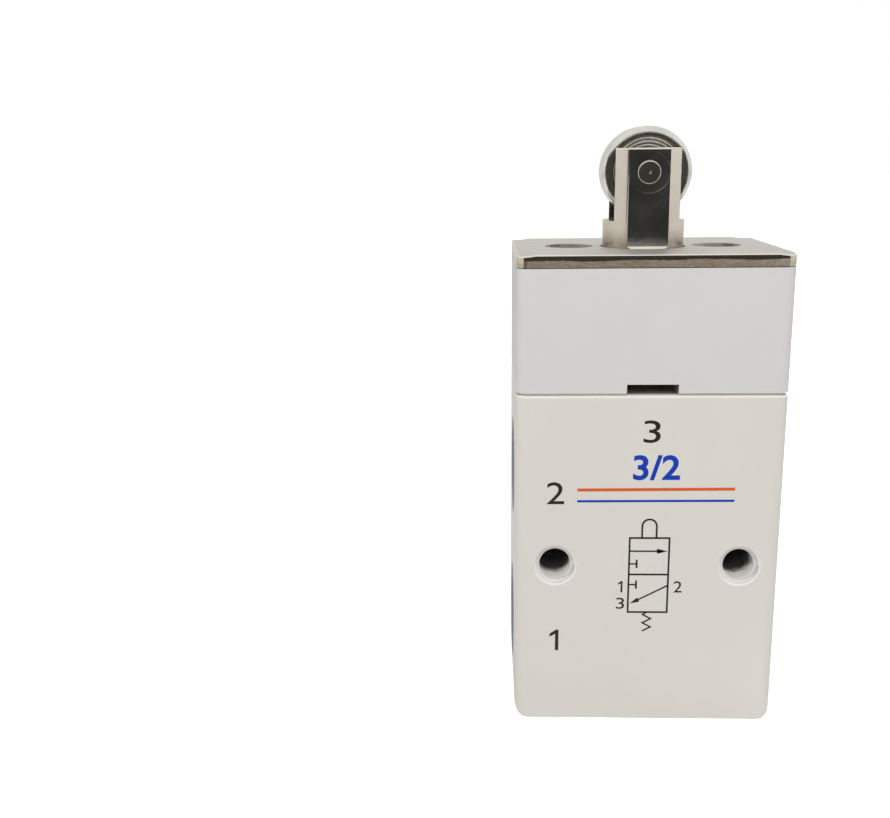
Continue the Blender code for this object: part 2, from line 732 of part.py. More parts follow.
def make_plunger(parent):
    """The plunger: spigot on the stem, flange under the plate, and the fork with its milled flats."""
    low = SPIGOT_BOTTOM
    chamfer = SEAT_GAP
    profile = [
        (0.0, low),
        (PLUNGER_SPIGOT_RADIUS - chamfer, low),
        (PLUNGER_SPIGOT_RADIUS, low + chamfer),
        (PLUNGER_SPIGOT_RADIUS, FLANGE_BOTTOM),
        (COVER_BORE_RADIUS - SLIDE_GAP, FLANGE_BOTTOM),
        (COVER_BORE_RADIUS - SLIDE_GAP, FLANGE_TOP),
        (PLUNGER_RADIUS, FLANGE_TOP),
        (PLUNGER_RADIUS, FORK_TOP - FORK_TOP_CHAMFER),
        (PLUNGER_RADIUS - FORK_TOP_CHAMFER, FORK_TOP),
        (0.0, FORK_TOP),
    ]
    plunger = turned("plunger", profile, NICKEL, parent)
    far = PLUNGER_RADIUS + CUT_OVERSHOOT
    top = FORK_TOP + CUT_OVERSHOOT
    slot = ROLLER_WIDTH / 2 + ROLLER_SIDE_GAP
    tools = [box_cutter("roller_slot", (-far, -slot, FORK_FLOOR), (far, slot, top))]
    for side, sign in (("low", -1), ("high", 1)):
        x_edges = sorted((sign * FORK_WIDTH / 2, sign * far))
        tools.append(face_flat_cutter("face_flat_" + side, sign))
        low_x = (x_edges[0], -far, FORK_FLOOR)
        high_x = (x_edges[1], far, top)
        tools.append(box_cutter("side_flat_" + side, low_x, high_x))
    hole = PIN_RADIUS + PIN_GAP
    sink = FORK_DEPTH / 2 - SPOTFACE_DEPTH
    pin_hole = [
        (0.0, -far),
        (SPOTFACE_RADIUS, -far),
        (SPOTFACE_RADIUS, -sink),
        (hole, -sink),
        (hole, sink),
        (SPOTFACE_RADIUS, sink),
        (SPOTFACE_RADIUS, far),
        (0.0, far),
    ]
    place = along_y(0.0, 0.0, PIN_HEIGHT)
    tools.append(turned_cutter("pin_hole", pin_hole, HOLE_STEPS, place))
    combine(plunger, tools)
    return plunger


def make_pin(parent):
    """The roller's pin, held in the fork, with chamfered ends."""
    half = FORK_DEPTH / 2 - SPOTFACE_DEPTH / 2
    profile = [
        (0.0, -half),
        (PIN_RADIUS - PIN_CHAMFER, -half),
        (PIN_RADIUS, PIN_CHAMFER - half),
        (PIN_RADIUS, half - PIN_CHAMFER),
        (PIN_RADIUS - PIN_CHAMFER, half),
        (0.0, half),
    ]
    pin = turned("roller_pin", profile, STEEL, parent, HOLE_STEPS)
    pin.data.transform(along_y(0.0, 0.0, PIN_HEIGHT))
    set_origin(pin, PIN_HEIGHT)
    return pin


def make_roller(parent):
    """The roller: round edges and a shallow turned recess round the hub on each face."""
    half = ROLLER_WIDTH / 2
    bore = PIN_RADIUS + PIN_GAP
    side = [
        (bore, half),
        (ROLLER_HUB_RADIUS, half),
        (ROLLER_HUB_RADIUS, half - ROLLER_RECESS),
        (ROLLER_RECESS_RADIUS, half - ROLLER_RECESS),
        (ROLLER_RECESS_RADIUS, half),
    ]
    for step in range(CORNER_STEPS + 1):
        angle = math.pi / 2 * step / CORNER_STEPS
        out = ROLLER_RADIUS - ROLLER_EDGE + ROLLER_EDGE * math.sin(angle)
        side.append((out, half - ROLLER_EDGE + ROLLER_EDGE * math.cos(angle)))
    profile = side + [(radius, -height) for radius, height in reversed(side)]
    roller = turned("roller", profile, NICKEL, parent)
    roller.data.transform(along_y(0.0, 0.0, PIN_HEIGHT))
    set_origin(roller, PIN_HEIGHT)
    return roller


def make_valve():
    """Makes every piece at rest, the moving ones under the empties of their joints."""
    clear_scene()
    plunger_axis = joint_axis("plunger_axis", PLATE_TOP, "SINGLE_ARROW")
    roller_axis = joint_axis("roller_axis", PIN_HEIGHT, "CIRCLE")
    roller_axis.parent = plunger_axis
    roller_axis.matrix_parent_inverse = Matrix.Translation(-plunger_axis.location)
    stem_axis = joint_axis("stem_axis", STEM_TOP, "SINGLE_ARROW")
    poppet_axis = joint_axis("poppet_axis", SEAL_DISC_TOP, "SINGLE_ARROW")
    make_body()
    make_cover()
    make_plate()
    make_screw("left", -SCREW_X)
    make_screw("right", SCREW_X)
    make_plug()
    seal_ring("plug_seal", OUTER_SEAL_RADIUS, (PLUG_BOTTOM + PLUG_TOP) / 2)
    make_retaining_ring()
    make_bush()
    make_poppet(poppet_axis)
    make_stem(stem_axis)
    make_plunger(plunger_axis)
    make_pin(plunger_axis)
    make_roller(roller_axis)
    coil_spring(
        "poppet_spring",
        POPPET_SPRING_RADIUS,
        POPPET_SPRING_WIRE,
        POPPET_SPRING_TURNS,
        PLUG_TOP + SEAT_GAP,
        POPPET_BOTTOM - SEAT_GAP,
    )
    coil_spring(
        "stem_spring",
        STEM_SPRING_RADIUS,
        STEM_SPRING_WIRE,
        STEM_SPRING_TURNS,
        SEAT_TOP + SEAT_GAP,
        COLLAR_BOTTOM - SEAT_GAP,
    )
    coil_spring(
        "plunger_spring",
        PLUNGER_SPRING_RADIUS,
        PLUNGER_SPRING_WIRE,
        PLUNGER_SPRING_TURNS,
        FLOOR_TOP + SEAT_GAP,
        FLANGE_BOTTOM - SEAT_GAP,
    )


make_valve()
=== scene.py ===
"""The looks of the roller plunger valve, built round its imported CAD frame.

Shapes are made in millimetres and become metres when a piece is finished. The block, cover, plate,
screws, plunger, pin, roller and springs stand for their CAD nodes as finer meshes of the same size. The
pieces inside keep their CAD shapes and get procedural materials. The front faces -Y, the ports -X.
"""

import json
import math

import bmesh
import bpy
from mathutils import Matrix, Vector

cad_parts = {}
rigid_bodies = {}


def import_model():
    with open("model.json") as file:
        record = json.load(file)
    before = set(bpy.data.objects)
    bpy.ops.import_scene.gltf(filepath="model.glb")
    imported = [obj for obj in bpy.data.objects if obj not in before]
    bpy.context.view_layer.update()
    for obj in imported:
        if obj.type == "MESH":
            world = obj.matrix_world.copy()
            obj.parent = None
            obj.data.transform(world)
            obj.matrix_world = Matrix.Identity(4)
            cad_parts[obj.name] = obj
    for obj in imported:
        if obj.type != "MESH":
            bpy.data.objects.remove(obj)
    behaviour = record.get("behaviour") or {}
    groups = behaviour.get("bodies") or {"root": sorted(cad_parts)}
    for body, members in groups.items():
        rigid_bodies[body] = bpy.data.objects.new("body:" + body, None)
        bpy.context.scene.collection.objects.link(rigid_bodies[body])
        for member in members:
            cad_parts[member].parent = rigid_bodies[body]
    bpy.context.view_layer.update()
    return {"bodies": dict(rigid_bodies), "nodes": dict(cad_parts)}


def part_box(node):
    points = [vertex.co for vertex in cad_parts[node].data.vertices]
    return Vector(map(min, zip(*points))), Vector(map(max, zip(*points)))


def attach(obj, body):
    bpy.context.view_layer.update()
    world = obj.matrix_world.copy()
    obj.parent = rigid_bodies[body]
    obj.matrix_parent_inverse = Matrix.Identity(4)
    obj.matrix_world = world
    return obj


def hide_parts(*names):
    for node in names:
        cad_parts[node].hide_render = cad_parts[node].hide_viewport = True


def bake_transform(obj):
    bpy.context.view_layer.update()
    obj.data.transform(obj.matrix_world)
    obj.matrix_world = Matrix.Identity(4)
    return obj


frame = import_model()

MM = 0.001


def corners(node):
    """A CAD node's lowest and highest corner in millimetres."""
    low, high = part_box(node)
    return low / MM, high / MM


# Places that come from the frame
BODY_LOW, BODY_HIGH = corners("valve_body")
COVER_LOW, COVER_HIGH = corners("cover")
PLATE_LOW, PLATE_HIGH = corners("cover_plate")
SCREW_LOW, SCREW_HIGH = corners("cover_screw_right")
PLUNGER_LOW, PLUNGER_HIGH = corners("plunger")
PIN_LOW, PIN_HIGH = corners("roller_pin")
ROLLER_LOW, ROLLER_HIGH = corners("roller")
WIDTH = BODY_HIGH.x - BODY_LOW.x
DEPTH = BODY_HIGH.y - BODY_LOW.y
FRONT = BODY_LOW.y
PORT_FACE = BODY_LOW.x
PLATE_TOP = PLATE_HIGH.z
SCREW_X = (SCREW_LOW.x + SCREW_HIGH.x) / 2
SCREW_TOP = SCREW_HIGH.z
SCREW_HEAD_RADIUS = (SCREW_HIGH.x - SCREW_LOW.x) / 2
HEAD_RECESS = PLATE_TOP - SCREW_TOP
PIN_Z = (PIN_LOW.z + PIN_HIGH.z) / 2
PIN_RADIUS = (PIN_HIGH.z - PIN_LOW.z) / 2
ROLLER_RADIUS = (ROLLER_HIGH.z - ROLLER_LOW.z) / 2
ROLLER_HALF = (ROLLER_HIGH.y - ROLLER_LOW.y) / 2

# Sizes that the boxes don't give, as in the CAD
EDGE_RADIUS = 1.5
FOOT_RADIUS = 2.0
BODY_CHAMFER = 0.3
PLATE_ROLL = 0.18
PLATE_DROP_FRONT = 0.2
PLATE_DROP_REAR = 0.35
PLATE_CORNER_REACH = 2.4
PLATE_CORNER_GAIN = 1.5
PLATE_CUTS = 8
SHEAR_DEPTH = 0.67
SINK_WALL = 0.1
MOUNT_X = 12.2
MOUNT_Z = 22.4
MOUNT_RADIUS = 2.5
MOUNT_CHAMFER = 0.35
MOUNT_PITCH = 0.8
MOUNT_THREAD_DEPTH = 0.42
PORT_HEIGHTS = {"p": 10.25, "a": 32.5}
PORT_RADIUS = 6.58
PORT_DEPTH = 9.5
PORT_CONE = 0.7
PORT_CHAMFER = 0.4
PORT_PITCH = 1.337
PORT_THREAD_DEPTH = 0.8
PORT_THREAD_INSET = 0.8
PASSAGE_RADIUS = 3.0
PASSAGE_END = 3.4
MOUTH_RADIUS = 6.85
GROOVE_RADIUS = 7.45
GROOVE_BOTTOM = 0.9
GROOVE_TOP = 2.0
PLUG_BORE = 6.6
PLUG_SHOULDER = 6.4
SUPPLY_RADIUS = 5.5
SEAT_BOTTOM = 19.5
SEAT_HIGH = 21.5
SEAT_RADIUS = 3.4
LIP_RADIUS = 3.9
LIP_BOTTOM = 18.9
OUTLET_RADIUS = 5.0
POCKET_BOTTOM = 39.5
SLOT_WIDTH = 6.6
SLOT_HEIGHT = 1.15
COVER_FLOOR = 2.5
COVER_BORE = 7.0
COVER_FLOOR_HOLE = 4.2
COVER_LIP = 0.35
SLOT_LIT = 1.9
CHAMBER_RADIUS = 7.6
SCREW_RADIUS = 1.5
SCREW_GAP = 0.2
SCREW_TAP_GAP = 0.1
SCREW_HOLE_END = 0.7
SCREW_RUNOUT = 1.0
SCREW_PLAIN = 1.5
SCREW_BARE_TURNS = 1.5
SCREW_PITCH = 0.5
SCREW_THREAD_DEPTH = 0.25
SCREW_EDGE = 0.06
CROSS_RECESS = ((-1.5, 0.45, 0.18), (-1.1, 0.95, 0.24), (0.2, 1.6, 0.36))
THREAD_SUNK = 0.03
RIDGE_LEAST = 0.08
RIDGE_RISE = 4.0
RIDGE_FOOT = 0.45
RIDGE_CREST = 0.10
PLUNGER_RADIUS = 5.45
PLUNGER_HOLE = 5.7
FLANGE_RADIUS = 6.75
FLANGE_TOP = 61.8
FLANGE_BOTTOM = 59.8
SPIGOT_RADIUS = 3.6
SPIGOT_CHAMFER = 0.2
FACE_FLAT = 4.75
FACE_FLAT_LOW = PLATE_TOP + 0.25
FLAT_RUNOUT = math.radians(55)
SIDE_FLAT = 4.3
FORK_SLOT = 3.05
FORK_FLOOR = 67.1
FORK_CHAMFER = 0.2
FORK_EDGE = 0.1
FORK_LIP_DEPTH = 0.13
FORK_LIP_HEIGHT = 0.21
PIN_FIT = 0.03
PIN_GAP = 0.1
PIN_CHAMFER = 0.3
PIN_MARK_DEPTH = 0.15
PIN_MARK_BOTTOM = 0.06
PIN_MARK_TOP = 0.22
SPOTFACE_RADIUS = 2.7
SPOTFACE_DEPTH = 0.2
ROLLER_EDGE_OUT = 1.05
ROLLER_EDGE_IN = 0.6
ROLLER_RIDGES = (2.95, 3.42, 3.9, 4.35)
ROLLER_RIDGE_SIZE = 0.16
ROLLER_RECESS = 0.2
ROLLER_RECESS_END = 0.25
ROLLER_RECESS_RIM = 0.35
WIRE_SIZES = {"plunger_spring": (1.0, 5.5), "stem_spring": (0.7, 7.0), "poppet_spring": (0.6, 5.0)}
END_TURN_PITCH = 1.1

# Facets and small edges
CORNER_STEPS = 12
BORE_STEPS = 72
SMALL_STEPS = 64
ROUND_STEPS = 88
ROLLER_STEPS = 128
RIDGE_STEPS = 6
THREAD_STEPS = 32
COIL_STEPS = 40
WIRE_SIDES = 12
SHARP = math.radians(32)
FORK_SHARP = math.radians(26)
FINE_EDGE = 0.10
NEAR = 2 * FINE_EDGE
OVERSHOOT = 2.0
MERGE = 0.004

# How far a face's normal leans along an axis: hardly, nearly all the way, all the way
SLANTED = 0.2
LEVEL = 0.98
FACING = 0.99

# The print on the front
INK = 0.02
INK_LINE = 0.24
INK_THIN = 0.2
MITRE_LEAST = 0.3
FONT_MERGE = 1e-5
ARCH_STEPS = 16


def spun(profile, steps=BORE_STEPS):
    """A bmesh of the (radius, height) profile turned round Z."""
    bm = bmesh.new()
    points = [bm.verts.new((radius, 0.0, height)) for radius, height in profile]
    edges = [bm.edges.new(pair) for pair in zip(points, points[1:])]
    if profile[0][0] > 0.0:
        edges.append(bm.edges.new((points[-1], points[0])))
    around = {"cent": (0, 0, 0), "axis": (0, 0, 1), "angle": math.tau, "use_merge": True}
    bmesh.ops.spin(bm, geom=points + edges, steps=steps, **around)
    bmesh.ops.remove_doubles(bm, verts=bm.verts, dist=MERGE / 4)
    return closed(bm)


def turned(side, steps=BORE_STEPS):
    """A solid turned round Z from the (radius, height) points of its side, closed at both ends."""
    return spun([(0.0, side[0][1]), *side, (0.0, side[-1][1])], steps)


def closed(bm):
    """Turns all faces of a closed bmesh outward."""
    bmesh.ops.recalc_face_normals(bm, faces=bm.faces)
    if bm.calc_volume(signed=True) < 0.0:
        bmesh.ops.reverse_faces(bm, faces=bm.faces)
    return bm


def lofted(rings, endless=False):
    """A bmesh through rings of as many points each. It has end faces unless it is endless."""
    bm = bmesh.new()
    loops = [[bm.verts.new(point) for point in ring] for ring in rings]
    pairs = list(zip(loops, loops[1:]))
    if endless:
        pairs.append((loops[-1], loops[0]))
    for low, high in pairs:
        for index in range(len(low)):
            after = (index + 1) % len(low)
            bm.faces.new((low[index], low[after], high[after], high[index]))
    if not endless:
        bm.faces.new(loops[0])
        bm.faces.new(loops[-1])
    return closed(bm)


def moved(bm, matrix):
    """The same bmesh after this transform."""
    bmesh.ops.transform(bm, matrix=matrix, verts=bm.verts)
    return bm


def box(low, high):
    """A box between two corners, used to cut."""
    middle = (Vector(low) + Vector(high)) / 2
    size = Vector(high) - Vector(low)
    bm = bmesh.new()
    place = Matrix.Translation(middle) @ Matrix.Diagonal((*size, 1.0))
    bmesh.ops.create_cube(bm, size=1.0, matrix=place)
    return bm


def stepped(*steps):
    """A round tool along Z made of steps, each with its radius, start and end."""
    side = []
    for radius, start, end in steps:
        side += [(radius, start), (radius, end)]
    return turned(side)


def rounded_rim(radius, height, out, down, steps):
    """Profile points that round a rim over, from its end face out to its radius."""
    points = []
    for step in range(steps + 1):
        angle = math.pi / 2 * step / steps
        reach = radius - out * (1.0 - math.sin(angle))
        points.append((reach, height - down * (1.0 - math.cos(angle))))
    return points


def mirrored(side):
    """A profile from the points of its upper half and their mirror image."""
    return side + [(radius, -height) for radius, height in reversed(side)]


def along_x(x, height):
    """Turns a tool's Z axis to -X, with its start at this x and height."""
    return Matrix.Translation((x, 0.0, height)) @ Matrix.Rotation(-math.pi / 2, 4, "Y")


def along_y(x, y, height):
    """Turns a tool's Z axis to +Y, with its start at this point."""
    return Matrix.Translation((x, y, height)) @ Matrix.Rotation(-math.pi / 2, 4, "X")


def at_screw(bm, side):
    """The tool moved to the left screw at side -1 or the right one at side 1."""
    return moved(bm, Matrix.Translation((side * SCREW_X, 0.0, 0.0)))


def block_ring(height, inset=0.0):
    """The outline that block, cover and plate share, at this height."""
    radius = max(EDGE_RADIUS - inset, FINE_EDGE)
    x = WIDTH / 2 - inset - radius
    y = DEPTH / 2 - inset - radius
    ring = []
    for quarter, (side, end) in enumerate(((1, 1), (-1, 1), (-1, -1), (1, -1))):
        for step in range(CORNER_STEPS + 1):
            angle = (quarter + step / CORNER_STEPS) * math.pi / 2
            place = (side * x + radius * math.cos(angle), end * y + radius * math.sin(angle))
            ring.append((*place, height))
    return ring


def rolled_top(top, radius, steps=3):
    """Outline rings that round the upper edge over to this height."""
    rings = []
    for step in range(steps + 1):
        angle = step / steps * math.pi / 2
        inset = radius * (1.0 - math.cos(angle))
        rings.append(block_ring(top - radius + radius * math.sin(angle), inset))
    return rings


def corner_drop(point):
    """How far the plate's upper surface falls away at this point, which it does only in its corners."""
    across = max(abs(point.x) - WIDTH / 2 + PLATE_CORNER_REACH, 0.0)
    along = max(abs(point.y) - DEPTH / 2 + PLATE_CORNER_REACH, 0.0)
    drop = PLATE_DROP_FRONT if point.y < 0.0 else PLATE_DROP_REAR
    return drop * PLATE_CORNER_GAIN * across * along / PLATE_CORNER_REACH**2


def as_object(bm, name):
    """Puts a bmesh in the scene under this name."""
    mesh = bpy.data.meshes.new(name)
    bm.to_mesh(mesh)
    bm.free()
    made = bpy.data.objects.new(name, mesh)
    bpy.context.scene.collection.objects.link(made)
    return made


def evaluated_bmesh(thing):
    """What an object shows after its modifiers, as a bmesh. The object is removed."""
    shown = thing.evaluated_get(bpy.context.evaluated_depsgraph_get())
    mesh = bpy.data.meshes.new_from_object(shown)
    bm = bmesh.new()
    bm.from_mesh(mesh)
    bpy.data.meshes.remove(mesh)
    bpy.data.objects.remove(thing)
    return bm


def carved(bm, tools, operation="DIFFERENCE"):
    """The solid after exact Booleans with every tool."""
    blank = as_object(bm, "blank")
    cutters = [as_object(tool, "tool") for tool in tools]
    for cutter in cutters:
        boolean = blank.modifiers.new(cutter.name, "BOOLEAN")
        boolean.operation = operation
        boolean.solver = "EXACT"
        boolean.object = cutter
    made = evaluated_bmesh(blank)
    for cutter in cutters:
        bpy.data.objects.remove(cutter)
    return made


def softened(bm, width=FINE_EDGE, where=lambda point: True, segments=2):
    """Rounds the sharp edges over, those whose middle passes the test."""
    bmesh.ops.remove_doubles(bm, verts=bm.verts, dist=MERGE)
    flat = math.radians(0.3)
    bmesh.ops.dissolve_limit(bm, angle_limit=flat, verts=bm.verts, edges=bm.edges)
    chosen = []
    for edge in bm.edges:
        if len(edge.link_faces) != 2 or edge.calc_face_angle() < SHARP:
            continue
        if where((edge.verts[0].co + edge.verts[1].co) / 2):
            chosen.append(edge)
    bmesh.ops.bevel(
        bm,
        geom=chosen,
        offset=width,
        offset_type="OFFSET",
        segments=segments,
        profile=0.5,
        affect="EDGES",
        clamp_overlap=True,
    )
    return bm


def piece(name, bm, materials, body, replaces=(), sharp=SHARP):
    """Finishes a piece: metres, smooth shading between sharp edges, materials and its body."""
    moved(bm, Matrix.Scale(MM, 4))
    made = as_object(bm, name)
    made.data.shade_smooth()
    made.data.set_sharp_from_angle(angle=sharp)
    weighted = made.modifiers.new("even_shading", "WEIGHTED_NORMAL")
    weighted.keep_sharp = True
    for material in materials:
        made.data.materials.append(material)
    if body in frame["bodies"]:
        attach(made, body)
    if replaces:
        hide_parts(*replaces)
    return made


class Finish:
    """A procedural material whose nodes are added by calls."""

    def __init__(self, name, metallic=0.0):
        self.material = bpy.data.materials.new(name)
        self.material.use_nodes = True
        self.tree = self.material.node_tree
        self.shader = self.tree.nodes["Principled BSDF"]
        self.shader.inputs["Metallic"].default_value = metallic
        self.place = self.tree.nodes.new("ShaderNodeTexCoord").outputs["Object"]

    def put(self, socket, value):
        """Links a socket to another one, or sets it to a value."""
        if isinstance(value, bpy.types.NodeSocket):
            self.tree.links.new(value, socket)
        else:
            socket.default_value = value

    def node(self, kind, inputs, output=0, **settings):
        """Adds a node and returns one of its outputs."""
        made = self.tree.nodes.new(kind)
        for key, value in settings.items():
            setattr(made, key, value)
        for key, value in inputs.items():
            self.put(made.inputs[key], value)
        return made.outputs[output]

    def noise(self, size, detail=2.0, turn=(0.0, 0.0, 0.0), shift=0.0):
        """Noise from 0 to 1 with features this many millimetres across, one size or three."""
        sizes = size if isinstance(size, tuple) else (size, size, size)
        inputs = {"Vector": self.place, "Location": (shift, shift, shift), "Rotation": turn}
        inputs["Scale"] = tuple(MM * each for each in sizes)
        spot = self.node("ShaderNodeMapping", inputs, vector_type="TEXTURE")
        return self.node("ShaderNodeTexNoise", {"Vector": spot, "Scale": 1.0, "Detail": detail})

    def spread(self, value, low, high, start=0.3, end=0.7):
        """Maps start to low and end to high, and holds both beyond."""
        keys = ("Value", "From Min", "From Max", "To Min", "To Max")
        return self.node("ShaderNodeMapRange", dict(zip(keys, (value, start, end, low, high))))

    def maths(self, operation, *values):
        """A Math node of up to three values."""
        return self.node("ShaderNodeMath", dict(enumerate(values)), operation=operation)

    def mixed(self, factor, first, second, blend="MIX"):
        """A colour between two colours, or another blend of them."""
        inputs = {0: factor, 6: first, 7: second}
        return self.node("ShaderNodeMix", inputs, output=2, data_type="RGBA", blend_type=blend)

    def shaded(self, colour, factor, darkest):
        """The colour multiplied by 1 where factor is 1, and by darkest where it is 0."""
        low = tuple(darkest * part for part in colour[:3]) + (1.0,)
        return self.mixed(factor, low, colour)

    def bump(self, height, depth, below=None):
        """A bump of this depth in millimetres, on top of an earlier one."""
        inputs = {"Height": height, "Distance": depth * MM, "Strength": 1.0}
        if below:
            inputs["Normal"] = below
        return self.node("ShaderNodeBump", inputs)

    def height_axis(self, axis):
        """The place along X, Y or Z in millimetres."""
        parts = self.node("ShaderNodeSeparateXYZ", {0: self.place}, output="XYZ".index(axis))
        return self.maths("DIVIDE", parts, MM)

    def done(self, colour, roughness, normal):
        """Feeds the shader and returns the material."""
        self.put(self.shader.inputs["Base Color"], colour)
        self.put(self.shader.inputs["Roughness"], roughness)
        self.put(self.shader.inputs["Normal"], normal)
        return self.material


def painted(name, colour, gloss):
    """Smooth satin paint: faint clouds of tone, orange peel and a few specks."""
    finish = Finish(name)
    cloud = finish.spread(finish.noise(11.0, 3.0), 0.0, 1.0)
    speck = finish.spread(finish.noise(0.22, 0.0, shift=3.0), 1.0, 0.0, 0.76, 0.80)
    tone = finish.maths("MULTIPLY", finish.spread(cloud, 0.6, 1.0, 0.0, 1.0), speck)
    peel = finish.bump(finish.noise(0.55, 2.0), 0.006)
    roughness = finish.spread(finish.noise(2.5, 2.0, shift=1.0), gloss, gloss + 0.1)
    return finish.done(finish.shaded(colour, tone, 0.95), roughness, peel)


def plated(name, colour, roughness, grain, depth=0.002, tarnish=0.88, turn=(0.0, 0.0, 0.0), stain=None):
    """Bright plating over metal: fine grain lines, uneven gloss, a little tarnish, stains up to a height."""
    finish = Finish(name, metallic=1.0)
    cloud = finish.spread(finish.noise(3.5, 4.0, shift=2.0), 0.0, 1.0)
    lines = finish.noise(grain, 3.0, turn)
    dents = finish.noise(0.7, 2.0, shift=5.0)
    normal = finish.bump(lines, depth, finish.bump(dents, depth * 1.5))
    gloss = finish.spread(finish.noise(1.3, 3.0, shift=7.0), roughness * 0.9, roughness * 1.12)
    tone = finish.shaded(colour, finish.maths("MULTIPLY", cloud, finish.spread(lines, 0.35, 1.0)), tarnish)
    if stain:
        near = finish.spread(finish.height_axis("Z"), 1.0, 0.0, STAIN_LOW, stain)
        blotch = finish.spread(finish.noise((2.2, 2.2, 1.2), 2.0, shift=9.0), 0.62, 0.95, 0.40, 0.65)
        tone = finish.mixed(finish.maths("MULTIPLY", near, blotch), tone, STAIN)
    return finish.done(tone, gloss, normal)


def ringed(name, colour, roughness, pitch, depth):
    """Turned metal: rings from the cutting tool round the roller's axis."""
    finish = Finish(name, metallic=1.0)
    up = finish.maths("SUBTRACT", finish.height_axis("Z"), PIN_Z)
    across = finish.height_axis("X")
    squares = [finish.maths("MULTIPLY", part, part) for part in (up, across)]
    radius = finish.maths("SQRT", finish.maths("ADD", *squares))
    wobble = finish.spread(finish.noise(1.5, 2.0), -0.15, 0.15)
    phase = finish.maths("MULTIPLY", finish.maths("ADD", radius, wobble), math.tau / pitch)
    wave = finish.maths("SINE", phase)
    cloud = finish.spread(finish.noise(2.5, 3.0, shift=4.0), 0.0, 1.0)
    gloss = finish.spread(finish.noise(0.8, 3.0, shift=6.0), roughness * 0.8, roughness * 1.3)
    normal = finish.bump(wave, depth, finish.bump(finish.noise(0.5, 3.0), depth * 2))
    return finish.done(finish.shaded(colour, cloud, 0.85), gloss, normal)


def sheared(name, bright, rough):
    """A punched sheet edge: a burnished upper band with a ragged border over a torn lower band."""
    finish = Finish(name, metallic=1.0)
    height = finish.height_axis("Z")
    waves = finish.spread(finish.noise((6.0, 6.0, 3.0), 1.0), -0.12, 0.12, 0.25, 0.75)
    ragged = finish.spread(finish.noise((0.5, 0.5, 0.4), 3.0, shift=8.0), -0.05, 0.05, 0.25, 0.75)
    border = finish.maths("SUBTRACT", height, PLATE_TOP - SHEAR_DEPTH)
    border = finish.maths("ADD", border, finish.maths("ADD", waves, ragged))
    torn = finish.spread(border, 1.0, 0.0, -0.10, 0.06)
    aside = finish.maths("ABSOLUTE", finish.height_axis("X"))
    straight = finish.spread(aside, 1.0, 0.0, WIDTH / 2 - EDGE_RADIUS, WIDTH / 2 - EDGE_RADIUS / 2)
    torn = finish.maths("MULTIPLY", torn, straight)
    brown = finish.spread(finish.noise((1.8, 1.8, 0.5), 3.0, shift=4.0), 0.0, 1.0, 0.4, 0.6)
    grit = finish.spread(finish.noise((0.45, 0.45, 0.2), 4.0, shift=2.0), 0.0, 1.0, 0.3, 0.7)
    browner = tuple(part * tint for part, tint in zip(rough, BROWN_TINT))
    rough = finish.mixed(brown, rough, browner)
    dull = finish.mixed(grit, DULL_TINT, WHITE)
    dulled = finish.mixed(1.0, rough, dull, "MULTIPLY")
    colour = finish.mixed(torn, bright, dulled)
    roughness = finish.maths("MULTIPLY_ADD", torn, 0.42, 0.16)
    pits = finish.maths("MULTIPLY", finish.noise((0.5, 0.5, 0.2), 3.0, shift=3.0), torn)
    return finish.done(colour, roughness, finish.bump(pits, 0.03))


def darkened_bore(name, axis, mouth, shade_start, shade_full, metal):
    """A bore in the paint's colour near its mouth that turns darker further in, to the colour passed as
    metal: painted shade for the unlit depth of the bore.
    """
    finish = Finish(name)
    place = finish.height_axis(axis)
    depth = finish.maths("SUBTRACT", mouth, finish.maths("ABSOLUTE", place))
    patchy = finish.spread(finish.noise(0.8, 3.0), -0.4, 0.4)
    shade = finish.spread(finish.maths("ADD", depth, patchy), 0.0, 1.0, shade_start, shade_full)
    colour = finish.mixed(shade, SPRAY, metal)
    roughness = finish.maths("MULTIPLY_ADD", shade, -0.1, 0.5)
    return finish.done(colour, roughness, finish.bump(finish.noise(0.18, 3.0), 0.01))


def rubber(name, colour):
    """Rubber with a dull bloom; the same finish in brown is painted shade inside the cover."""
    finish = Finish(name)
    bloom = finish.spread(finish.noise(1.2, 4.0), 0.0, 1.0)
    return finish.done(
        finish.shaded(colour, bloom, 0.6),
        finish.spread(bloom, 0.55, 0.75, 0.0, 1.0),
        finish.bump(finish.noise(0.15, 2.0), 0.01),
    )


def ink(name, colour):
    """Pad printing ink: slightly uneven cover and a dull gloss."""
    finish = Finish(name)
    finish.shader.inputs["Specular IOR Level"].default_value = 0.25
    cover = finish.spread(finish.noise(0.25, 3.0), 0.0, 1.0)
    return finish.done(
        finish.shaded(colour, cover, 0.75),
        finish.spread(cover, 0.45, 0.6, 0.0, 1.0),
        finish.bump(finish.noise(0.3, 2.0), 0.004),
    )


WHITE = (1.0, 1.0, 1.0, 1.0)
STAIN = (0.230, 0.165, 0.095, 1.0)
STAIN_LOW = PLATE_TOP - 0.3
STAIN_HIGH = PLATE_TOP + 2.6
SPRAY = (0.66, 0.65, 0.62, 1.0)
BROWN_TINT = (0.98, 0.86, 0.76, 1.0)
DULL_TINT = (0.72, 0.72, 0.72, 1.0)
WARM_PAINT = painted("warm_paint", (0.665, 0.640, 0.590, 1.0), 0.42)
COOL_PAINT = painted("cool_paint", (0.624, 0.614, 0.602, 1.0), 0.46)
# A lighter copy of the block's paint: a painted highlight on chamfers that face the light.
HIGHLIGHT_RIM_PAINT = painted("rim_paint_highlight", (0.790, 0.765, 0.720, 1.0), 0.40)
PLATE_METAL = plated("plate_metal", (0.690, 0.670, 0.645, 1.0), 0.46, (3.0, 0.12, 0.12))
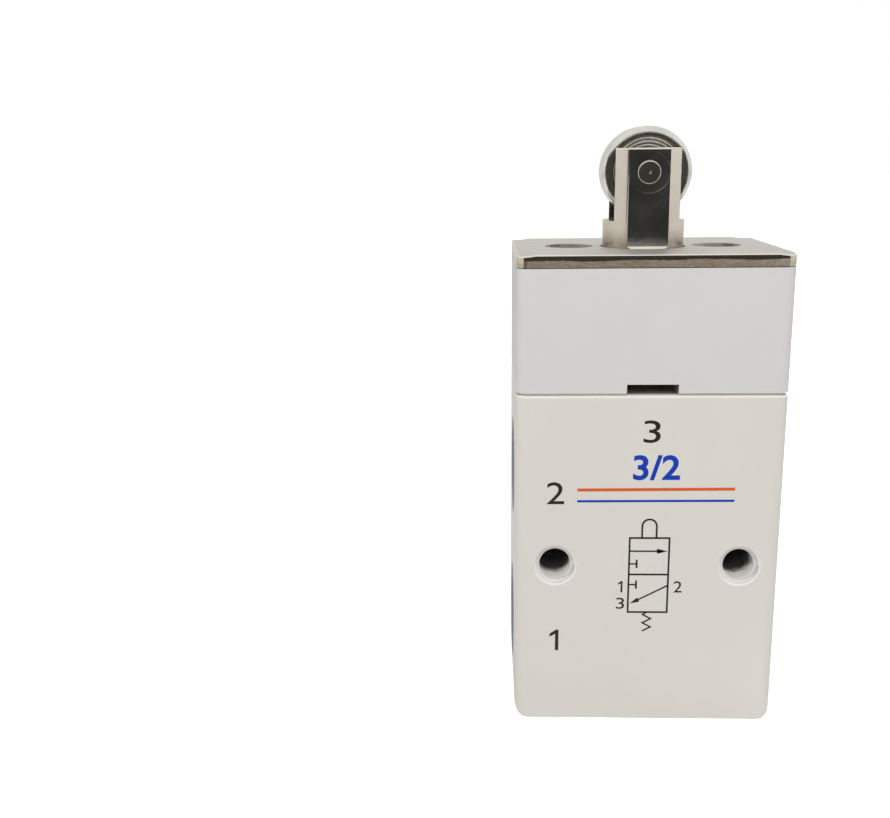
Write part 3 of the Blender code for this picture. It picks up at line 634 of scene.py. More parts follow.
# A lighter plating for the rolled rim: a painted highlight along the plate's upper edge.
PLATE_RIM_HIGHLIGHT = plated("plate_rim_highlight", (0.900, 0.860, 0.790, 1.0), 0.40, (2.0, 0.3, 0.3))
PLATE_EDGE = sheared("plate_edge", (0.56, 0.50, 0.40, 1.0), (0.84, 0.74, 0.61, 1.0))
# A darker olive plating for the countersinks: painted shade and reflection in the recesses, darker than the
# plate's own plating.
SINK_SHADE_METAL = plated("sink_metal_shade", (0.360, 0.360, 0.285, 1.0), 0.30, (0.5, 0.5, 0.2), tarnish=0.7)
ROUND_METAL = plated("round_metal", (0.740, 0.680, 0.580, 1.0), 0.24, (0.9, 0.9, 0.07), stain=STAIN_HIGH)
# A lighter, warmer plating for faces that slope up from the flats: partly the milled run-out's own finish,
# partly a painted highlight.
RUNOUT_HIGHLIGHT_METAL = plated("runout_metal_highlight", (0.820, 0.740, 0.610, 1.0), 0.30, (0.2, 0.2, 0.9))
FLAT_METAL = plated(
    "flat_metal", (0.700, 0.695, 0.680, 1.0), 0.17, (0.12, 0.12, 2.4), 0.006, 0.50, (0.0, 0.95, 0.0)
)
ROLLER_METAL = ringed("roller_metal", (0.720, 0.700, 0.655, 1.0), 0.17, 0.16, 0.0012)
PIN_METAL = ringed("pin_metal", (0.600, 0.580, 0.530, 1.0), 0.15, 0.22, 0.0004)
SCREW_METAL = plated("screw_metal", (0.300, 0.300, 0.235, 1.0), 0.24, (0.5, 0.5, 0.08))
SPRING_METAL = plated("spring_metal", (0.450, 0.460, 0.480, 1.0), 0.28, (0.3, 0.3, 0.1))
RING_METAL = plated("ring_metal", (0.080, 0.080, 0.085, 1.0), 0.42, (0.3, 0.3, 0.3))
STEEL = plated("bright_steel", (0.550, 0.540, 0.520, 1.0), 0.26, (0.6, 0.6, 0.08))
BRASS = plated("turned_brass", (0.700, 0.540, 0.250, 1.0), 0.26, (0.6, 0.6, 0.08))
# Painted shade in the bores: the mounting holes turn dark with depth, the ports and chambers are dark
# blue-grey from the mouth in as painted shade and a painted dark reflection, and the block's top behind the
# exhaust slot turns brown beyond the depth the lamp lights.
MOUNT_BORE_SHADE = darkened_bore("mount_bore", "Y", DEPTH / 2, 2.6, 4.4, (0.110, 0.106, 0.098, 1.0))
PORT_BORE_SHADE = darkened_bore("port_bore", "X", WIDTH / 2, -1.5, -0.5, (0.170, 0.180, 0.215, 1.0))
SEAT_TOP_SHADE = darkened_bore("seat_top_shade", "Y", DEPTH / 2, SLOT_LIT, SLOT_LIT + 1.6, (0.620, 0.490, 0.340, 1.0))
# The cover's inside in a brown that is painted shade in its chamber and slot.
COVER_INSIDE_SHADE = rubber("cover_inside_shade", (0.420, 0.340, 0.250, 1.0))
RUBBER = rubber("black_rubber", (0.022, 0.022, 0.022, 1.0))
DARK_INK = ink("dark_ink", (0.030, 0.020, 0.014, 1.0))
BLUE_INK = ink("blue_ink", (0.002, 0.045, 0.460, 1.0))
ORANGE_INK = ink("orange_ink", (0.740, 0.115, 0.018, 1.0))


def body_bore():
    """The stepped bore of the block, from the retaining ring's groove up to the bush's pocket."""
    return stepped(
        (MOUTH_RADIUS, -OVERSHOOT, GROOVE_BOTTOM),
        (GROOVE_RADIUS, GROOVE_BOTTOM, GROOVE_TOP),
        (PLUG_BORE, GROOVE_TOP, PLUG_SHOULDER),
        (SUPPLY_RADIUS, PLUG_SHOULDER, SEAT_BOTTOM),
        (LIP_RADIUS, SEAT_BOTTOM, LIP_BOTTOM),
        (SEAT_RADIUS, LIP_BOTTOM, SEAT_HIGH),
        (OUTLET_RADIUS, SEAT_HIGH, POCKET_BOTTOM),
        (PLUG_BORE, POCKET_BOTTOM, BODY_HIGH.z + OVERSHOOT),
    )


def port_bore(height):
    """A port's bore from the left face, and its passage into the chamber."""
    chamber = -PORT_FACE - PASSAGE_END
    mouth = PORT_DEPTH + PORT_CHAMFER
    wide = PORT_RADIUS + 2 * PORT_CHAMFER
    side = [
        (PASSAGE_RADIUS, -chamber),
        (PASSAGE_RADIUS, -PORT_DEPTH - PORT_CONE),
        (PORT_RADIUS, -PORT_DEPTH),
        (PORT_RADIUS, -PORT_CHAMFER),
        (wide, PORT_CHAMFER),
        (wide, mouth),
    ]
    return moved(turned(side), along_x(PORT_FACE, height))


def mount_bore(x):
    """A mounting hole right through the block, countersunk at both ends."""
    wide = MOUNT_RADIUS + 2 * MOUNT_CHAMFER
    side = [
        (wide, -OVERSHOOT),
        (wide, -MOUNT_CHAMFER),
        (MOUNT_RADIUS, MOUNT_CHAMFER),
        (MOUNT_RADIUS, DEPTH - MOUNT_CHAMFER),
        (wide, DEPTH + MOUNT_CHAMFER),
        (wide, DEPTH + OVERSHOOT),
    ]
    return moved(turned(side), along_y(x, FRONT, MOUNT_Z))


def foot_outline():
    """A prism along Y with the block's lower left and right edges rounded."""
    half = WIDTH / 2
    top = BODY_HIGH.z + OVERSHOOT
    side = half + OVERSHOOT
    points = [(side, top), (-side, top), (-side, FOOT_RADIUS)]
    for quarter, centre in ((2, FOOT_RADIUS - half), (3, half - FOOT_RADIUS)):
        for step in range(CORNER_STEPS + 1):
            angle = (quarter + step / CORNER_STEPS) * math.pi / 2
            x = centre + FOOT_RADIUS * math.cos(angle)
            points.append((x, FOOT_RADIUS * (1.0 + math.sin(angle))))
    points.append((side, FOOT_RADIUS))
    reach = DEPTH / 2 + OVERSHOOT
    return lofted([[(x, y, z) for x, z in points] for y in (-reach, reach)])


def near_side(point):
    """True near the four sides that block and cover share."""
    return abs(point.x) > WIDTH / 2 - NEAR or abs(point.y) > DEPTH / 2 - NEAR


def on_outside(point):
    """True on the block's outer faces and near its rims."""
    return near_side(point) or point.z < NEAR or point.z > BODY_HIGH.z - BODY_CHAMFER - NEAR


def bore_kind(point):
    """1 in a mounting hole, 2 inside a port or the chambers, 3 on the top, and 0 on painted faces."""
    in_mount = math.hypot(abs(point.x) - MOUNT_X, point.z - MOUNT_Z) < MOUNT_RADIUS + FINE_EDGE
    if in_mount and abs(point.y) < DEPTH / 2 - MOUNT_CHAMFER:
        return 1
    if point.z > BODY_HIGH.z - MERGE:
        return 3
    if PORT_FACE + MERGE < point.x < 0.0:
        away = min(math.hypot(point.y, point.z - height) for height in PORT_HEIGHTS.values())
        if away < PORT_RADIUS + PORT_CHAMFER:
            return 2
    in_chamber = math.hypot(point.x, point.y) < CHAMBER_RADIUS and point.z > FINE_EDGE
    return 2 if in_chamber else 0


def make_block():
    """The warm white block with its bores, ports and mounting holes."""
    top = BODY_HIGH.z
    rings = [block_ring(0.0), block_ring(top - BODY_CHAMFER), block_ring(top, BODY_CHAMFER)]
    bm = carved(lofted(rings), [foot_outline()], "INTERSECT")
    tools = [body_bore()]
    tools += [port_bore(height) for height in PORT_HEIGHTS.values()]
    for side in (-1, 1):
        tools.append(mount_bore(side * MOUNT_X))
        hole = stepped((SCREW_RADIUS + SCREW_TAP_GAP, SCREW_LOW.z - SCREW_HOLE_END, top + OVERSHOOT))
        tools.append(at_screw(hole, side))
    bm = softened(carved(bm, tools), where=on_outside)
    # Chamfers on the upper rim and round the mounting holes take index 4, the lighter paint that is a painted
    # highlight; the other faces take their bore kind.
    for face in bm.faces:
        middle = face.calc_center_median()
        on_rim = middle.z > top - BODY_CHAMFER - FINE_EDGE and SLANTED < face.normal.z < LEVEL
        from_hole = math.hypot(abs(middle.x) - MOUNT_X, middle.z - MOUNT_Z)
        on_sink = from_hole < MOUNT_RADIUS + 2 * MOUNT_CHAMFER and SLANTED < abs(face.normal.y) < LEVEL
        light = on_sink or (on_rim and on_outside(middle))
        face.material_index = 4 if light else bore_kind(middle)
    materials = [WARM_PAINT, MOUNT_BORE_SHADE, PORT_BORE_SHADE, SEAT_TOP_SHADE, HIGHLIGHT_RIM_PAINT]
    piece("block_painted", bm, materials, "valve", ["valve_body"])


def on_cover_rim(point):
    """True on the cover's outer edges below its upper one, which the plate covers."""
    return near_side(point) and COVER_LOW.z - NEAR / 4 < point.z < COVER_HIGH.z - NEAR


def make_cover():
    """The cool white cover with its spring chamber and the exhaust slot at the front."""
    low = COVER_LOW.z - OVERSHOOT
    high = COVER_HIGH.z + OVERSHOOT
    floor = COVER_LOW.z + COVER_FLOOR
    slot_top = COVER_LOW.z + SLOT_HEIGHT
    tools = [
        stepped((COVER_FLOOR_HOLE, low, floor), (COVER_BORE, floor, high)),
        box((-SLOT_WIDTH / 2, FRONT - OVERSHOOT, low), (SLOT_WIDTH / 2, 0.0, slot_top)),
    ]
    hole = SCREW_RADIUS + SCREW_GAP
    tools += [at_screw(stepped((hole, low, high)), side) for side in (-1, 1)]
    rings = [block_ring(height, COVER_LIP) for height in (BODY_HIGH.z + MERGE, COVER_LOW.z)]
    rings += [block_ring(COVER_LOW.z), block_ring(COVER_HIGH.z)]
    bm = softened(carved(lofted(rings), tools), where=on_cover_rim)
    # Faces inside the cover take index 1, the brown that is painted shade.
    for face in bm.faces:
        middle = face.calc_center_median()
        inside = abs(middle.x) < SCREW_X + hole and abs(middle.y) < DEPTH / 2 - COVER_LIP
        face.material_index = 1 if inside and middle.z < COVER_HIGH.z - MERGE else 0
    piece("cover_painted", bm, [COOL_PAINT, COVER_INSIDE_SHADE], "valve", ["cover"])


def countersink(gap):
    """Radius and height of both ends of a screw head's cone, widened by a gap."""
    low = SCREW_TOP - (SCREW_HEAD_RADIUS - SCREW_RADIUS)
    return [(SCREW_RADIUS + gap, low), (SCREW_HEAD_RADIUS + gap, SCREW_TOP)]


def make_plate():
    """The nickel plated plate, punched from sheet, so its edge has two bands."""
    rings = [block_ring(PLATE_LOW.z), *rolled_top(PLATE_TOP, PLATE_ROLL)]
    low = PLATE_LOW.z - OVERSHOOT
    high = PLATE_TOP + OVERSHOOT
    wide = PLUNGER_HOLE + FINE_EDGE
    lead = [(PLUNGER_HOLE, low), (PLUNGER_HOLE, PLATE_TOP - FINE_EDGE), (wide, PLATE_TOP), (wide, high)]
    rim = SCREW_HEAD_RADIUS + SCREW_GAP + HEAD_RECESS
    cone = countersink(SCREW_GAP)
    sink = [(cone[0][0], low), *cone, (rim - SINK_WALL, SCREW_TOP + SINK_WALL), (rim, PLATE_TOP), (rim, high)]
    tools = [turned(lead), *(at_screw(turned(sink), side) for side in (-1, 1))]
    bm = carved(lofted(rings), tools)
    for axis, half in ((Vector((1, 0, 0)), WIDTH / 2), (Vector((0, 1, 0)), DEPTH / 2)):
        for step in range(PLATE_CUTS):
            spot = (half - PLATE_CORNER_REACH * (1.0 - step / PLATE_CUTS)) * axis
            for place in (-spot, spot):
                everything = bm.verts[:] + bm.edges[:] + bm.faces[:]
                bmesh.ops.bisect_plane(bm, geom=everything, plane_co=place, plane_no=axis)
    for vertex in bm.verts:
        if vertex.co.z > PLATE_LOW.z + FINE_EDGE:
            vertex.co.z -= corner_drop(vertex.co)
    # Index 2, the rolled upper rim, is the lighter plating that is a painted highlight; index 3, the
    # countersinks, is the darker olive plating that is painted shade and reflection.
    steep, rolled = 0.5, 0.985
    for face in bm.faces:
        middle = face.calc_center_median()
        outside = abs(middle.y) > DEPTH / 2 - EDGE_RADIUS or abs(middle.x) > WIDTH / 2 - EDGE_RADIUS
        if outside and abs(face.normal.z) < steep:
            face.material_index = 1
        elif outside and steep < face.normal.z < rolled:
            face.material_index = 2
        elif math.hypot(abs(middle.x) - SCREW_X, middle.y) < rim and face.normal.z < LEVEL:
            face.material_index = 3
    materials = [PLATE_METAL, PLATE_EDGE, PLATE_RIM_HIGHLIGHT, SINK_SHADE_METAL]
    piece("plate_nickel", bm, materials, "valve", ["cover_plate"])


def cross_outline(height, span, width):
    """The twelve corners of a cross, centred on Z."""
    quarter = [(span, -width), (span, width), (width, width)]
    ring = []
    for turn in range(4):
        cosine = math.cos(turn * math.pi / 2)
        sine = math.sin(turn * math.pi / 2)
        for x, y in quarter:
            ring.append((x * cosine - y * sine, x * sine + y * cosine, height))
    return ring


def make_screws():
    """Two countersunk cover screws with a cross recess and a threaded shank."""
    tip = SCREW_RADIUS / 3
    cone = countersink(0.0)
    root = SCREW_RADIUS - SCREW_THREAD_DEPTH
    shape = [
        (root - tip, SCREW_LOW.z),
        (root, SCREW_LOW.z + tip),
        (root, cone[0][1] - SCREW_RUNOUT),
        *cone,
    ]
    recess = [cross_outline(SCREW_TOP + rise, span, width) for rise, span, width in CROSS_RECESS]
    for name, side, turn in (("left", -1, 20), ("right", 1, 64)):
        place = Matrix.Translation((side * SCREW_X, 0.0, 0.0)) @ Matrix.Rotation(math.radians(turn), 4, "Z")
        bm = carved(turned(shape, SMALL_STEPS), [lofted(recess)])
        bm = softened(bm, SCREW_EDGE, lambda point: point.z > SCREW_TOP - FINE_EDGE / 2)
        moved(bm, place)
        piece("screw_" + name, bm, [SCREW_METAL], "valve", ["cover_screw_" + name])
        turns = (cone[0][1] - SCREW_PLAIN - SCREW_LOW.z) / SCREW_PITCH - SCREW_BARE_TURNS
        ridge = thread_ridge(root - THREAD_SUNK, SCREW_RADIUS, SCREW_LOW.z + tip, SCREW_PITCH, turns)
        piece("screw_thread_" + name, moved(ridge, place), [SCREW_METAL], "valve")


def coil(section_at, turns, steps):
    """A solid wound round Z. section_at gives its (radius, height) points at a turn."""
    rings = []
    for step in range(round(turns * steps) + 1):
        turn = step / steps
        angle = math.tau * turn
        rings.append([(r * math.cos(angle), r * math.sin(angle), z) for r, z in section_at(turn)])
    return lofted(rings)


def thread_ridge(root, crest, start, pitch, turns):
    """The ridge of a screw thread between two radii. It fades out at both ends."""

    def section(turn):
        fade = max(RIDGE_LEAST, min(1.0, RIDGE_RISE * turn, RIDGE_RISE * (turns - turn)))
        top = root + (crest - root) * fade
        middle = start + pitch * turn
        wide = RIDGE_FOOT * pitch
        narrow = RIDGE_CREST * pitch
        return [(root, middle - wide), (top, middle - narrow), (top, middle + narrow), (root, middle + wide)]

    return coil(section, turns, THREAD_STEPS)


def make_threads():
    """The thread ridges inside both mounting holes and both ports."""
    root = MOUNT_RADIUS + THREAD_SUNK
    crest = MOUNT_RADIUS - MOUNT_THREAD_DEPTH
    turns = math.floor((DEPTH - 2 * MOUNT_CHAMFER) / MOUNT_PITCH)
    for name, x in (("left", -MOUNT_X), ("right", MOUNT_X)):
        ridge = thread_ridge(root, crest, MOUNT_CHAMFER, MOUNT_PITCH, turns)
        moved(ridge, along_y(x, FRONT, MOUNT_Z))
        piece("mount_thread_" + name, ridge, [MOUNT_BORE_SHADE], "valve")
    root = PORT_RADIUS + THREAD_SUNK
    crest = PORT_RADIUS - PORT_THREAD_DEPTH
    start = PORT_THREAD_INSET - PORT_DEPTH
    turns = math.floor((PORT_DEPTH - 2 * PORT_THREAD_INSET) / PORT_PITCH)
    for name, height in PORT_HEIGHTS.items():
        ridge = thread_ridge(root, crest, start, PORT_PITCH, turns)
        moved(ridge, along_x(PORT_FACE, height))
        piece("port_thread_" + name, ridge, [PORT_BORE_SHADE], "valve")


def flat_tool(side):
    """The tool of a face flat at the front or the rear, with a lip on top and a slope at its foot."""
    far = PLUNGER_RADIUS + OVERSHOOT
    above = PLUNGER_HIGH.z + OVERSHOOT
    below = FACE_FLAT_LOW - (far - FACE_FLAT) * math.tan(FLAT_RUNOUT)
    lip = FACE_FLAT - FORK_LIP_DEPTH
    outline = [
        (lip, above),
        (lip, PLUNGER_HIGH.z),
        (FACE_FLAT, PLUNGER_HIGH.z - FORK_LIP_HEIGHT),
        (FACE_FLAT, FACE_FLAT_LOW),
        (far, below),
        (far, above),
    ]
    return lofted([[(x, side * y, z) for y, z in outline] for x in (-far, far)])


def make_plunger():
    """The plunger: spigot, flange and the fork with its milled flats."""
    top = PLUNGER_HIGH.z
    side = [
        (SPIGOT_RADIUS - SPIGOT_CHAMFER, PLUNGER_LOW.z),
        (SPIGOT_RADIUS, PLUNGER_LOW.z + SPIGOT_CHAMFER),
        (SPIGOT_RADIUS, FLANGE_BOTTOM),
        (FLANGE_RADIUS, FLANGE_BOTTOM),
        (FLANGE_RADIUS, FLANGE_TOP),
        (PLUNGER_RADIUS, FLANGE_TOP),
        (PLUNGER_RADIUS, top - FORK_CHAMFER),
        (PLUNGER_RADIUS - FORK_CHAMFER, top),
    ]
    far = PLUNGER_RADIUS + OVERSHOOT
    above = top + OVERSHOOT
    tools = [box((-far, -FORK_SLOT, FORK_FLOOR), (far, FORK_SLOT, above))]
    tools += [flat_tool(-1), flat_tool(1)]
    for low, high in ((-far, -SIDE_FLAT), (SIDE_FLAT, far)):
        tools.append(box((low, -far, FORK_FLOOR), (high, far, above)))
    sink = FACE_FLAT - SPOTFACE_DEPTH
    bore = PIN_RADIUS + PIN_FIT
    hole = stepped((SPOTFACE_RADIUS, -far, -sink), (bore, -sink, sink), (SPOTFACE_RADIUS, sink, far))
    tools.append(moved(hole, along_y(0.0, 0.0, PIN_Z)))
    bm = softened(carved(turned(side, ROUND_STEPS), tools), FORK_EDGE, segments=3)
    # Sloped faces of the run-outs and lips take index 2, the lighter run-out plating, which is partly a
    # painted highlight.
    gentle, steep = 0.4, 0.95
    for face in bm.faces:
        middle = face.calc_center_median()
        milled = abs(face.normal.y) > FACING and abs(middle.y) < FACE_FLAT + MERGE
        milled |= abs(face.normal.x) > FACING and abs(middle.x) < SIDE_FLAT + MERGE
        sloped = abs(face.normal.y) > gentle and gentle < face.normal.z < steep
        face.material_index = 1 if milled and middle.z > PLATE_TOP else 0
        lip = middle.z > top - FORK_LIP_HEIGHT and abs(middle.y) > FACE_FLAT - FORK_LIP_DEPTH
        if sloped and (lip or FLANGE_TOP < middle.z < FACE_FLAT_LOW + FINE_EDGE):
            face.material_index = 2
    materials = [ROUND_METAL, FLAT_METAL, RUNOUT_HIGHLIGHT_METAL]
    piece("plunger_fork", bm, materials, "plunger", ["plunger"], FORK_SHARP)


def make_pin():
    """The roller's pin with chamfered ends, each with the mark of a centre drill."""
    half = PIN_HIGH.y
    end = [
        (PIN_MARK_BOTTOM, half - PIN_MARK_DEPTH),
        (PIN_MARK_TOP, half),
        *rounded_rim(PIN_RADIUS, half, PIN_CHAMFER, PIN_CHAMFER, 5),
    ]
    bm = moved(turned(mirrored(end), SMALL_STEPS), along_y(0.0, 0.0, PIN_Z))
    piece("pin_turned", bm, [PIN_METAL], "plunger", ["roller_pin"])


def make_roller():
    """The roller: fine ridges round the hub and a full round edge."""
    side = [(PIN_RADIUS + PIN_GAP, ROLLER_HALF)]
    recess = ROLLER_HALF - ROLLER_RECESS
    for ridge in ROLLER_RIDGES:
        for step in range(RIDGE_STEPS + 1):
            angle = math.pi * step / RIDGE_STEPS
            out = ridge - ROLLER_RIDGE_SIZE * math.cos(angle)
            side.append((out, recess + ROLLER_RIDGE_SIZE * math.sin(angle)))
    side.append((ROLLER_RIDGES[-1] + ROLLER_RECESS_END, recess))
    side.append((ROLLER_RIDGES[-1] + ROLLER_RECESS_RIM, ROLLER_HALF))
    side += rounded_rim(ROLLER_RADIUS, ROLLER_HALF, ROLLER_EDGE_OUT, ROLLER_EDGE_IN, 8)
    bm = moved(spun(mirrored(side), ROLLER_STEPS), along_y(0.0, 0.0, PIN_Z))
    piece("roller_turned", bm, [ROLLER_METAL], "roller", ["roller"])


def make_springs():
    """The three springs as finer wire."""
    for node, (wire, turns) in WIRE_SIZES.items():
        low, high = corners(node)
        mean = high.x - wire / 2
        closed_rise = wire * END_TURN_PITCH
        pitch = (high.z - low.z - wire - 2 * closed_rise) / (turns - 2)

        def section(turn):
            rise = closed_rise * (min(turn, 1.0) + max(turn - turns + 1.0, 0.0))
            rise += pitch * min(max(turn - 1.0, 0.0), turns - 2)
            points = []
            for side in range(WIRE_SIDES):
                around = math.tau * side / WIRE_SIDES
                out = mean + wire / 2 * math.cos(around)
                points.append((out, low.z + wire / 2 + rise + wire / 2 * math.sin(around)))
            return points

        bm = coil(section, turns, COIL_STEPS)
        spring = piece(node + "_wire", bm, [SPRING_METAL], None, [node])
        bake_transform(spring)


def ribbon(points, width=INK_LINE, endless=False):
    """A printed line of even width through (x, z) points on the front face."""
    spots = [Vector(point) for point in points]
    rings = []
    for index, spot in enumerate(spots):
        before = spots[index - 1] if index or endless else None
        after = spots[(index + 1) % len(spots)] if index + 1 < len(spots) or endless else None
        into = (spot - before).normalized() if before else (after - spot).normalized()
        out = (after - spot).normalized() if after else into
        across = Vector((-(into + out).y, (into + out).x)).normalized()
        reach = width / 2 / max(MITRE_LEAST, across.dot(Vector((-into.y, into.x))))
        left = spot + across * reach
        right = spot - across * reach
        outline = ((left, FRONT - INK), (right, FRONT - INK), (right, FRONT + INK), (left, FRONT + INK))
        rings.append([(end.x, y, end.y) for end, y in outline])
    return lofted(rings, endless)


def patch(points):
    """A printed patch with this outline of (x, z) points."""
    return lofted([[(x, y, z) for x, z in points] for y in (FRONT - INK, FRONT + INK)])


def numeral(text, left, right, low, high, bold=0.0):
    """Printed figures that fill this part of the front face."""
    words = bpy.data.curves.new("figures", "FONT")
    words.body = text
    words.extrude = INK
    words.offset = bold
    thing = bpy.data.objects.new("figures", words)
    bpy.context.scene.collection.objects.link(thing)
    bm = evaluated_bmesh(thing)
    bmesh.ops.remove_doubles(bm, verts=bm.verts, dist=FONT_MERGE)
    xs = [vertex.co.x for vertex in bm.verts]
    ys = [vertex.co.y for vertex in bm.verts]
    across = (right - left) / (max(xs) - min(xs))
    up = (high - low) / (max(ys) - min(ys))
    for vertex in bm.verts:
        x = left + (vertex.co.x - min(xs)) * across
        z = low + (vertex.co.y - min(ys)) * up
        vertex.co = (x, FRONT - vertex.co.z, z)
    return closed(bm)


def figure_one(left, right, low, high):
    """A printed figure 1: a stem with a flag."""
    tall = high - low
    stem = 0.15 * tall
    flag_top = high - 0.20 * tall
    flag_low = high - 0.34 * tall
    points = [(right, low), (right, high), (right - 0.8 * stem, high), (left, flag_top)]
    points += [(left, flag_low), (right - stem, flag_top), (right - stem, low)]
    return patch(points)


def make_print():
    """The print: port numbers, a plain stripe block and the standard symbol of a 3/2 plunger valve."""
    parts = {
        "port_number_3": numeral("3", -1.0, 1.2, 39.35, 42.35),
        "port_number_2": numeral("2", -13.4, -11.1, 31.0, 34.0),
        "port_number_1": figure_one(-12.8, -11.6, 10.1, 13.1),
        "symbol_number_1": figure_one(-3.75, -3.15, 18.6, 20.2),
        "symbol_number_2": numeral("2", 3.65, 4.75, 18.6, 20.2),
        "symbol_number_3": numeral("3", -3.95, -2.85, 16.2, 17.8),
    }
    for name, bm in parts.items():
        piece(name, bm, [DARK_INK], "valve")
    left, right = -2.36, 2.87
    low, divide, high = 15.75, 21.15, 26.3
    middle, bar, arrow = 0.19, -1.35, 24.45
    lines = {
        "symbol_frame": ribbon([(left, low), (right, low), (right, high), (left, high)], endless=True),
        "symbol_divider": ribbon([(left, divide), (right, divide)]),
        "symbol_arrow_upper": ribbon([(left, arrow), (right - 0.9, arrow)], INK_THIN),
        "symbol_stop_upper": ribbon([(left, 22.65), (bar, 22.65)], INK_THIN),
        "symbol_bar_upper": ribbon([(bar, 22.05), (bar, 23.25)]),
        "symbol_stop_lower": ribbon([(left, 19.7), (bar, 19.7)], INK_THIN),
        "symbol_bar_lower": ribbon([(bar, 19.1), (bar, 20.3)]),
        "symbol_arrow_lower": ribbon([(right, 19.6), (-1.1, 17.5)], INK_THIN),
    }
    arch_radius = 0.95
    top = 27.95
    arch = [(middle + arch_radius, high)]
    for step in range(ARCH_STEPS + 1):
        angle = math.pi * step / ARCH_STEPS
        arch.append((middle + arch_radius * math.cos(angle), top + arch_radius * math.sin(angle)))
    arch.append((middle - arch_radius, high))
    lines["symbol_plunger"] = ribbon(arch)
    zigzag = [(middle, low)]
    for index, x in enumerate((-0.55, 0.55, -0.55, 0.55, -0.55)):
        zigzag.append((middle + x, low - 0.35 - 0.6 * index))
    lines["symbol_spring"] = ribbon(zigzag, INK_THIN)
    lines["symbol_head_upper"] = patch([(right - 0.2, arrow), (right - 1.6, 24.8), (right - 1.6, 24.1)])
    lines["symbol_head_lower"] = patch([(-2.1, 17.0), (-1.15, 17.85), (-0.85, 17.25)])
    for name, bm in lines.items():
        piece(name, bm, [DARK_INK], "valve")
    piece("print_figures", numeral("3/2", -2.2, 3.9, 34.3, 37.7, 0.02), [BLUE_INK], "valve")
    piece("print_rule_orange", ribbon([(-9.4, 32.95), (11.1, 33.1)], 0.4), [ORANGE_INK], "valve")
    piece("print_rule_blue", ribbon([(-9.4, 31.4), (11.1, 31.5)], 0.3), [BLUE_INK], "valve")


def dress_inner_nodes():
    """Gives the CAD nodes inside their procedural materials."""
    finishes = [
        (BRASS, ("bottom_plug", "stem_guide_bush", "poppet")),
        (RUBBER, ("plug_seal", "bush_seal", "stem_seal", "poppet_seal")),
        (RING_METAL, ("retaining_ring",)),
        (STEEL, ("stem",)),
    ]
    for material, nodes in finishes:
        for node in nodes:
            mesh = frame["nodes"][node].data
            mesh.materials.clear()
            mesh.materials.append(material)


# Camera: the photograph's place, direction and lens
CAMERA_PLACE = (-21.3, -148.25, 76.25)
CAMERA_TURN = (76.518, 0.626, 2.131)
CAMERA_LENS = 43.317

# Studio
LOOK_AT = Vector((0.0, 0.0, 45.0))
FLOOR_SIZE = 6000.0
FLOOR_SEEN = 0.55
FLOOR_GLOSS = 0.15
FLOOR_DROP = 0.02
CARD_RADIUS = 420.0
CARD_STEPS = 24
CARD_TINT = (1.0, 0.97, 0.9)
AMBIENT = 0.50


def make_camera():
    """The camera stands where the photograph's did."""
    data = bpy.data.cameras.new("camera")
    data.sensor_width = 36.0
    data.lens = CAMERA_LENS
    data.clip_start = 0.001
    data.clip_end = 100.0
    camera = bpy.data.objects.new("camera", data)
    bpy.context.scene.collection.objects.link(camera)
    camera.location = Vector(CAMERA_PLACE) * MM
    camera.rotation_euler = [math.radians(angle) for angle in CAMERA_TURN]
    bpy.context.scene.camera = camera


def seen_directly(tree):
    """One where a ray comes from the camera or off gloss or glass, and zero elsewhere."""
    path = tree.nodes.new("ShaderNodeLightPath")
    total = path.outputs["Is Camera Ray"]
    for name in ("Is Glossy Ray", "Is Transmission Ray"):
        larger = tree.nodes.new("ShaderNodeMath")
        larger.operation = "MAXIMUM"
        tree.links.new(total, larger.inputs[0])
        tree.links.new(path.outputs[name], larger.inputs[1])
        total = larger.outputs[0]
    return total


def make_world():
    """White where it is seen, and a soft even light at a plain level."""
    world = bpy.data.worlds.new("studio")
    world.use_nodes = True
    bpy.context.scene.world = world
    tree = world.node_tree
    background = tree.nodes["Background"]
    background.inputs["Color"].default_value = WHITE
    level = tree.nodes.new("ShaderNodeMapRange")
    level.inputs["To Min"].default_value = AMBIENT
    level.inputs["To Max"].default_value = 1.0
    tree.links.new(seen_directly(tree), level.inputs["Value"])
    tree.links.new(level.outputs[0], background.inputs["Strength"])


def stage_object(name, bm, material):
    """Something of the studio, which isn't part of the valve."""
    moved(bm, Matrix.Scale(MM, 4))
    made = as_object(bm, name)
    made.data.materials.append(material)
    return made


def make_floor():
    """A pale floor that stays white to the eye and keeps the valve's shadow."""
    finish = Finish("floor_white")
    tint = finish.spread(finish.noise(40.0), 0.0, 1.0)
    finish.done(finish.shaded((0.86, 0.86, 0.86, 1.0), tint, 0.99), 0.9, finish.bump(tint, 0.001))
    finish.shader.inputs["Emission Color"].default_value = WHITE
    glossy = finish.maths("MULTIPLY", seen_directly(finish.tree), FLOOR_GLOSS)
    seen = finish.node("ShaderNodeLightPath", {}, output="Is Camera Ray")
    glow = finish.maths("MAXIMUM", glossy, finish.maths("MULTIPLY", seen, FLOOR_SEEN))
    finish.put(finish.shader.inputs["Emission Strength"], glow)
    half = FLOOR_SIZE / 2
    spots = ((-half, -half), (half, -half), (half, half), (-half, half))
    bm = bmesh.new()
    bm.faces.new([bm.verts.new((x, y, -FLOOR_DROP)) for x, y in spots])
    stage_object("floor", bm, finish.material)


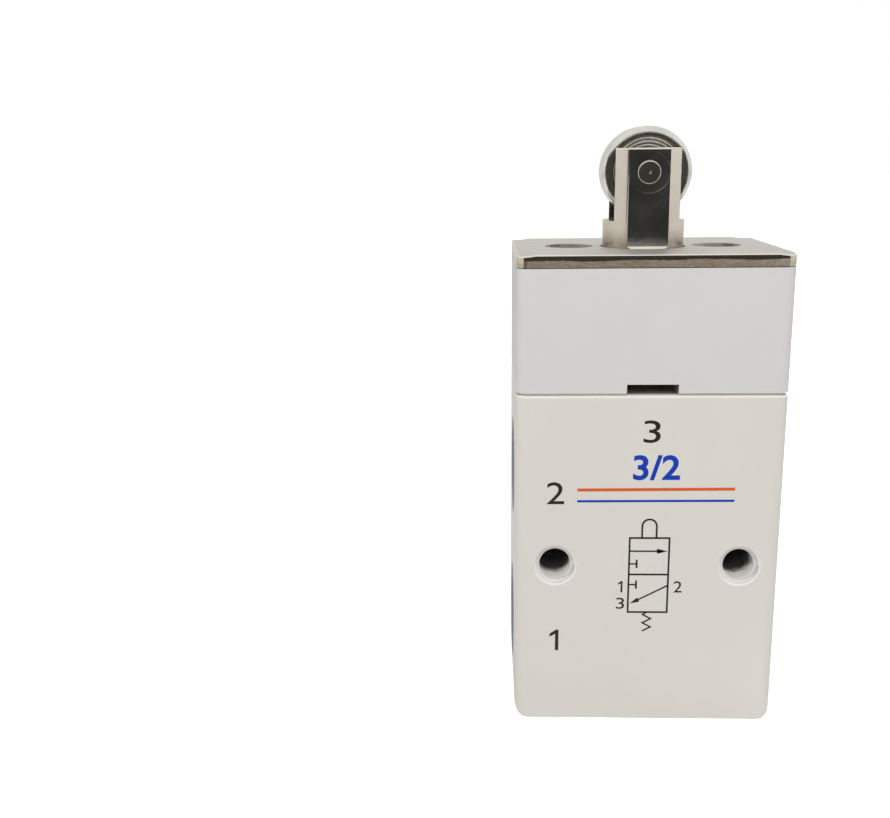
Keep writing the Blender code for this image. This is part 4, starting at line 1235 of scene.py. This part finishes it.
def make_card(name, tone, sides, outline):
    """A studio card that only gloss sees, on an arc between two sides, in degrees from the front."""
    material = bpy.data.materials.new(name)
    material.use_nodes = True
    tree = material.node_tree
    tree.nodes.remove(tree.nodes["Principled BSDF"])
    glow = tree.nodes.new("ShaderNodeEmission")
    glow.inputs["Color"].default_value = (*(tone * part for part in CARD_TINT), 1.0)
    tree.links.new(glow.outputs[0], tree.nodes["Material Output"].inputs["Surface"])
    bm = bmesh.new()
    first, last = (math.radians(angle) for angle in sides)
    loops = []
    for radius, height in outline:
        loop = []
        for step in range(CARD_STEPS + 1):
            angle = first + (last - first) * step / CARD_STEPS
            loop.append(bm.verts.new((radius * math.sin(angle), -radius * math.cos(angle), height)))
        loops.append(loop)
    for near, far in zip(loops, loops[1:]):
        for index in range(CARD_STEPS):
            bm.faces.new((near[index], near[index + 1], far[index + 1], far[index]))
    card = stage_object(name, bm, material)
    for kind in ("camera", "diffuse", "transmission", "shadow"):
        setattr(card, "visible_" + kind, False)


def make_lamp(name, place, size, power):
    """A soft square lamp aimed at the valve."""
    data = bpy.data.lights.new(name, "AREA")
    data.size = size * MM
    data.energy = power
    lamp = bpy.data.objects.new(name, data)
    lamp.visible_glossy = False
    bpy.context.scene.collection.objects.link(lamp)
    lamp.location = Vector(place) * MM
    aim = (LOOK_AT - Vector(place)).to_track_quat("-Z", "Y")
    lamp.rotation_euler = aim.to_euler()


make_block()
make_cover()
make_plate()
make_screws()
make_threads()
make_plunger()
make_pin()
make_roller()
make_springs()
make_print()
dress_inner_nodes()
make_camera()
make_world()
make_floor()
make_card("card_dark", 0.060, (-52.0, 46.0), ((60.0, 1.0), (CARD_RADIUS, 1.0), (CARD_RADIUS, 220.0)))
make_card("card_grey", 0.72, (130.0, 230.0), ((CARD_RADIUS, 1.0), (CARD_RADIUS, 300.0)))
make_lamp("key", (-97.0, -458.0, 565.0), 130.0, 2.75)
make_lamp("rim", (380.0, 420.0, 460.0), 400.0, 1.5)
bpy.context.scene.view_settings.view_transform = "Standard"
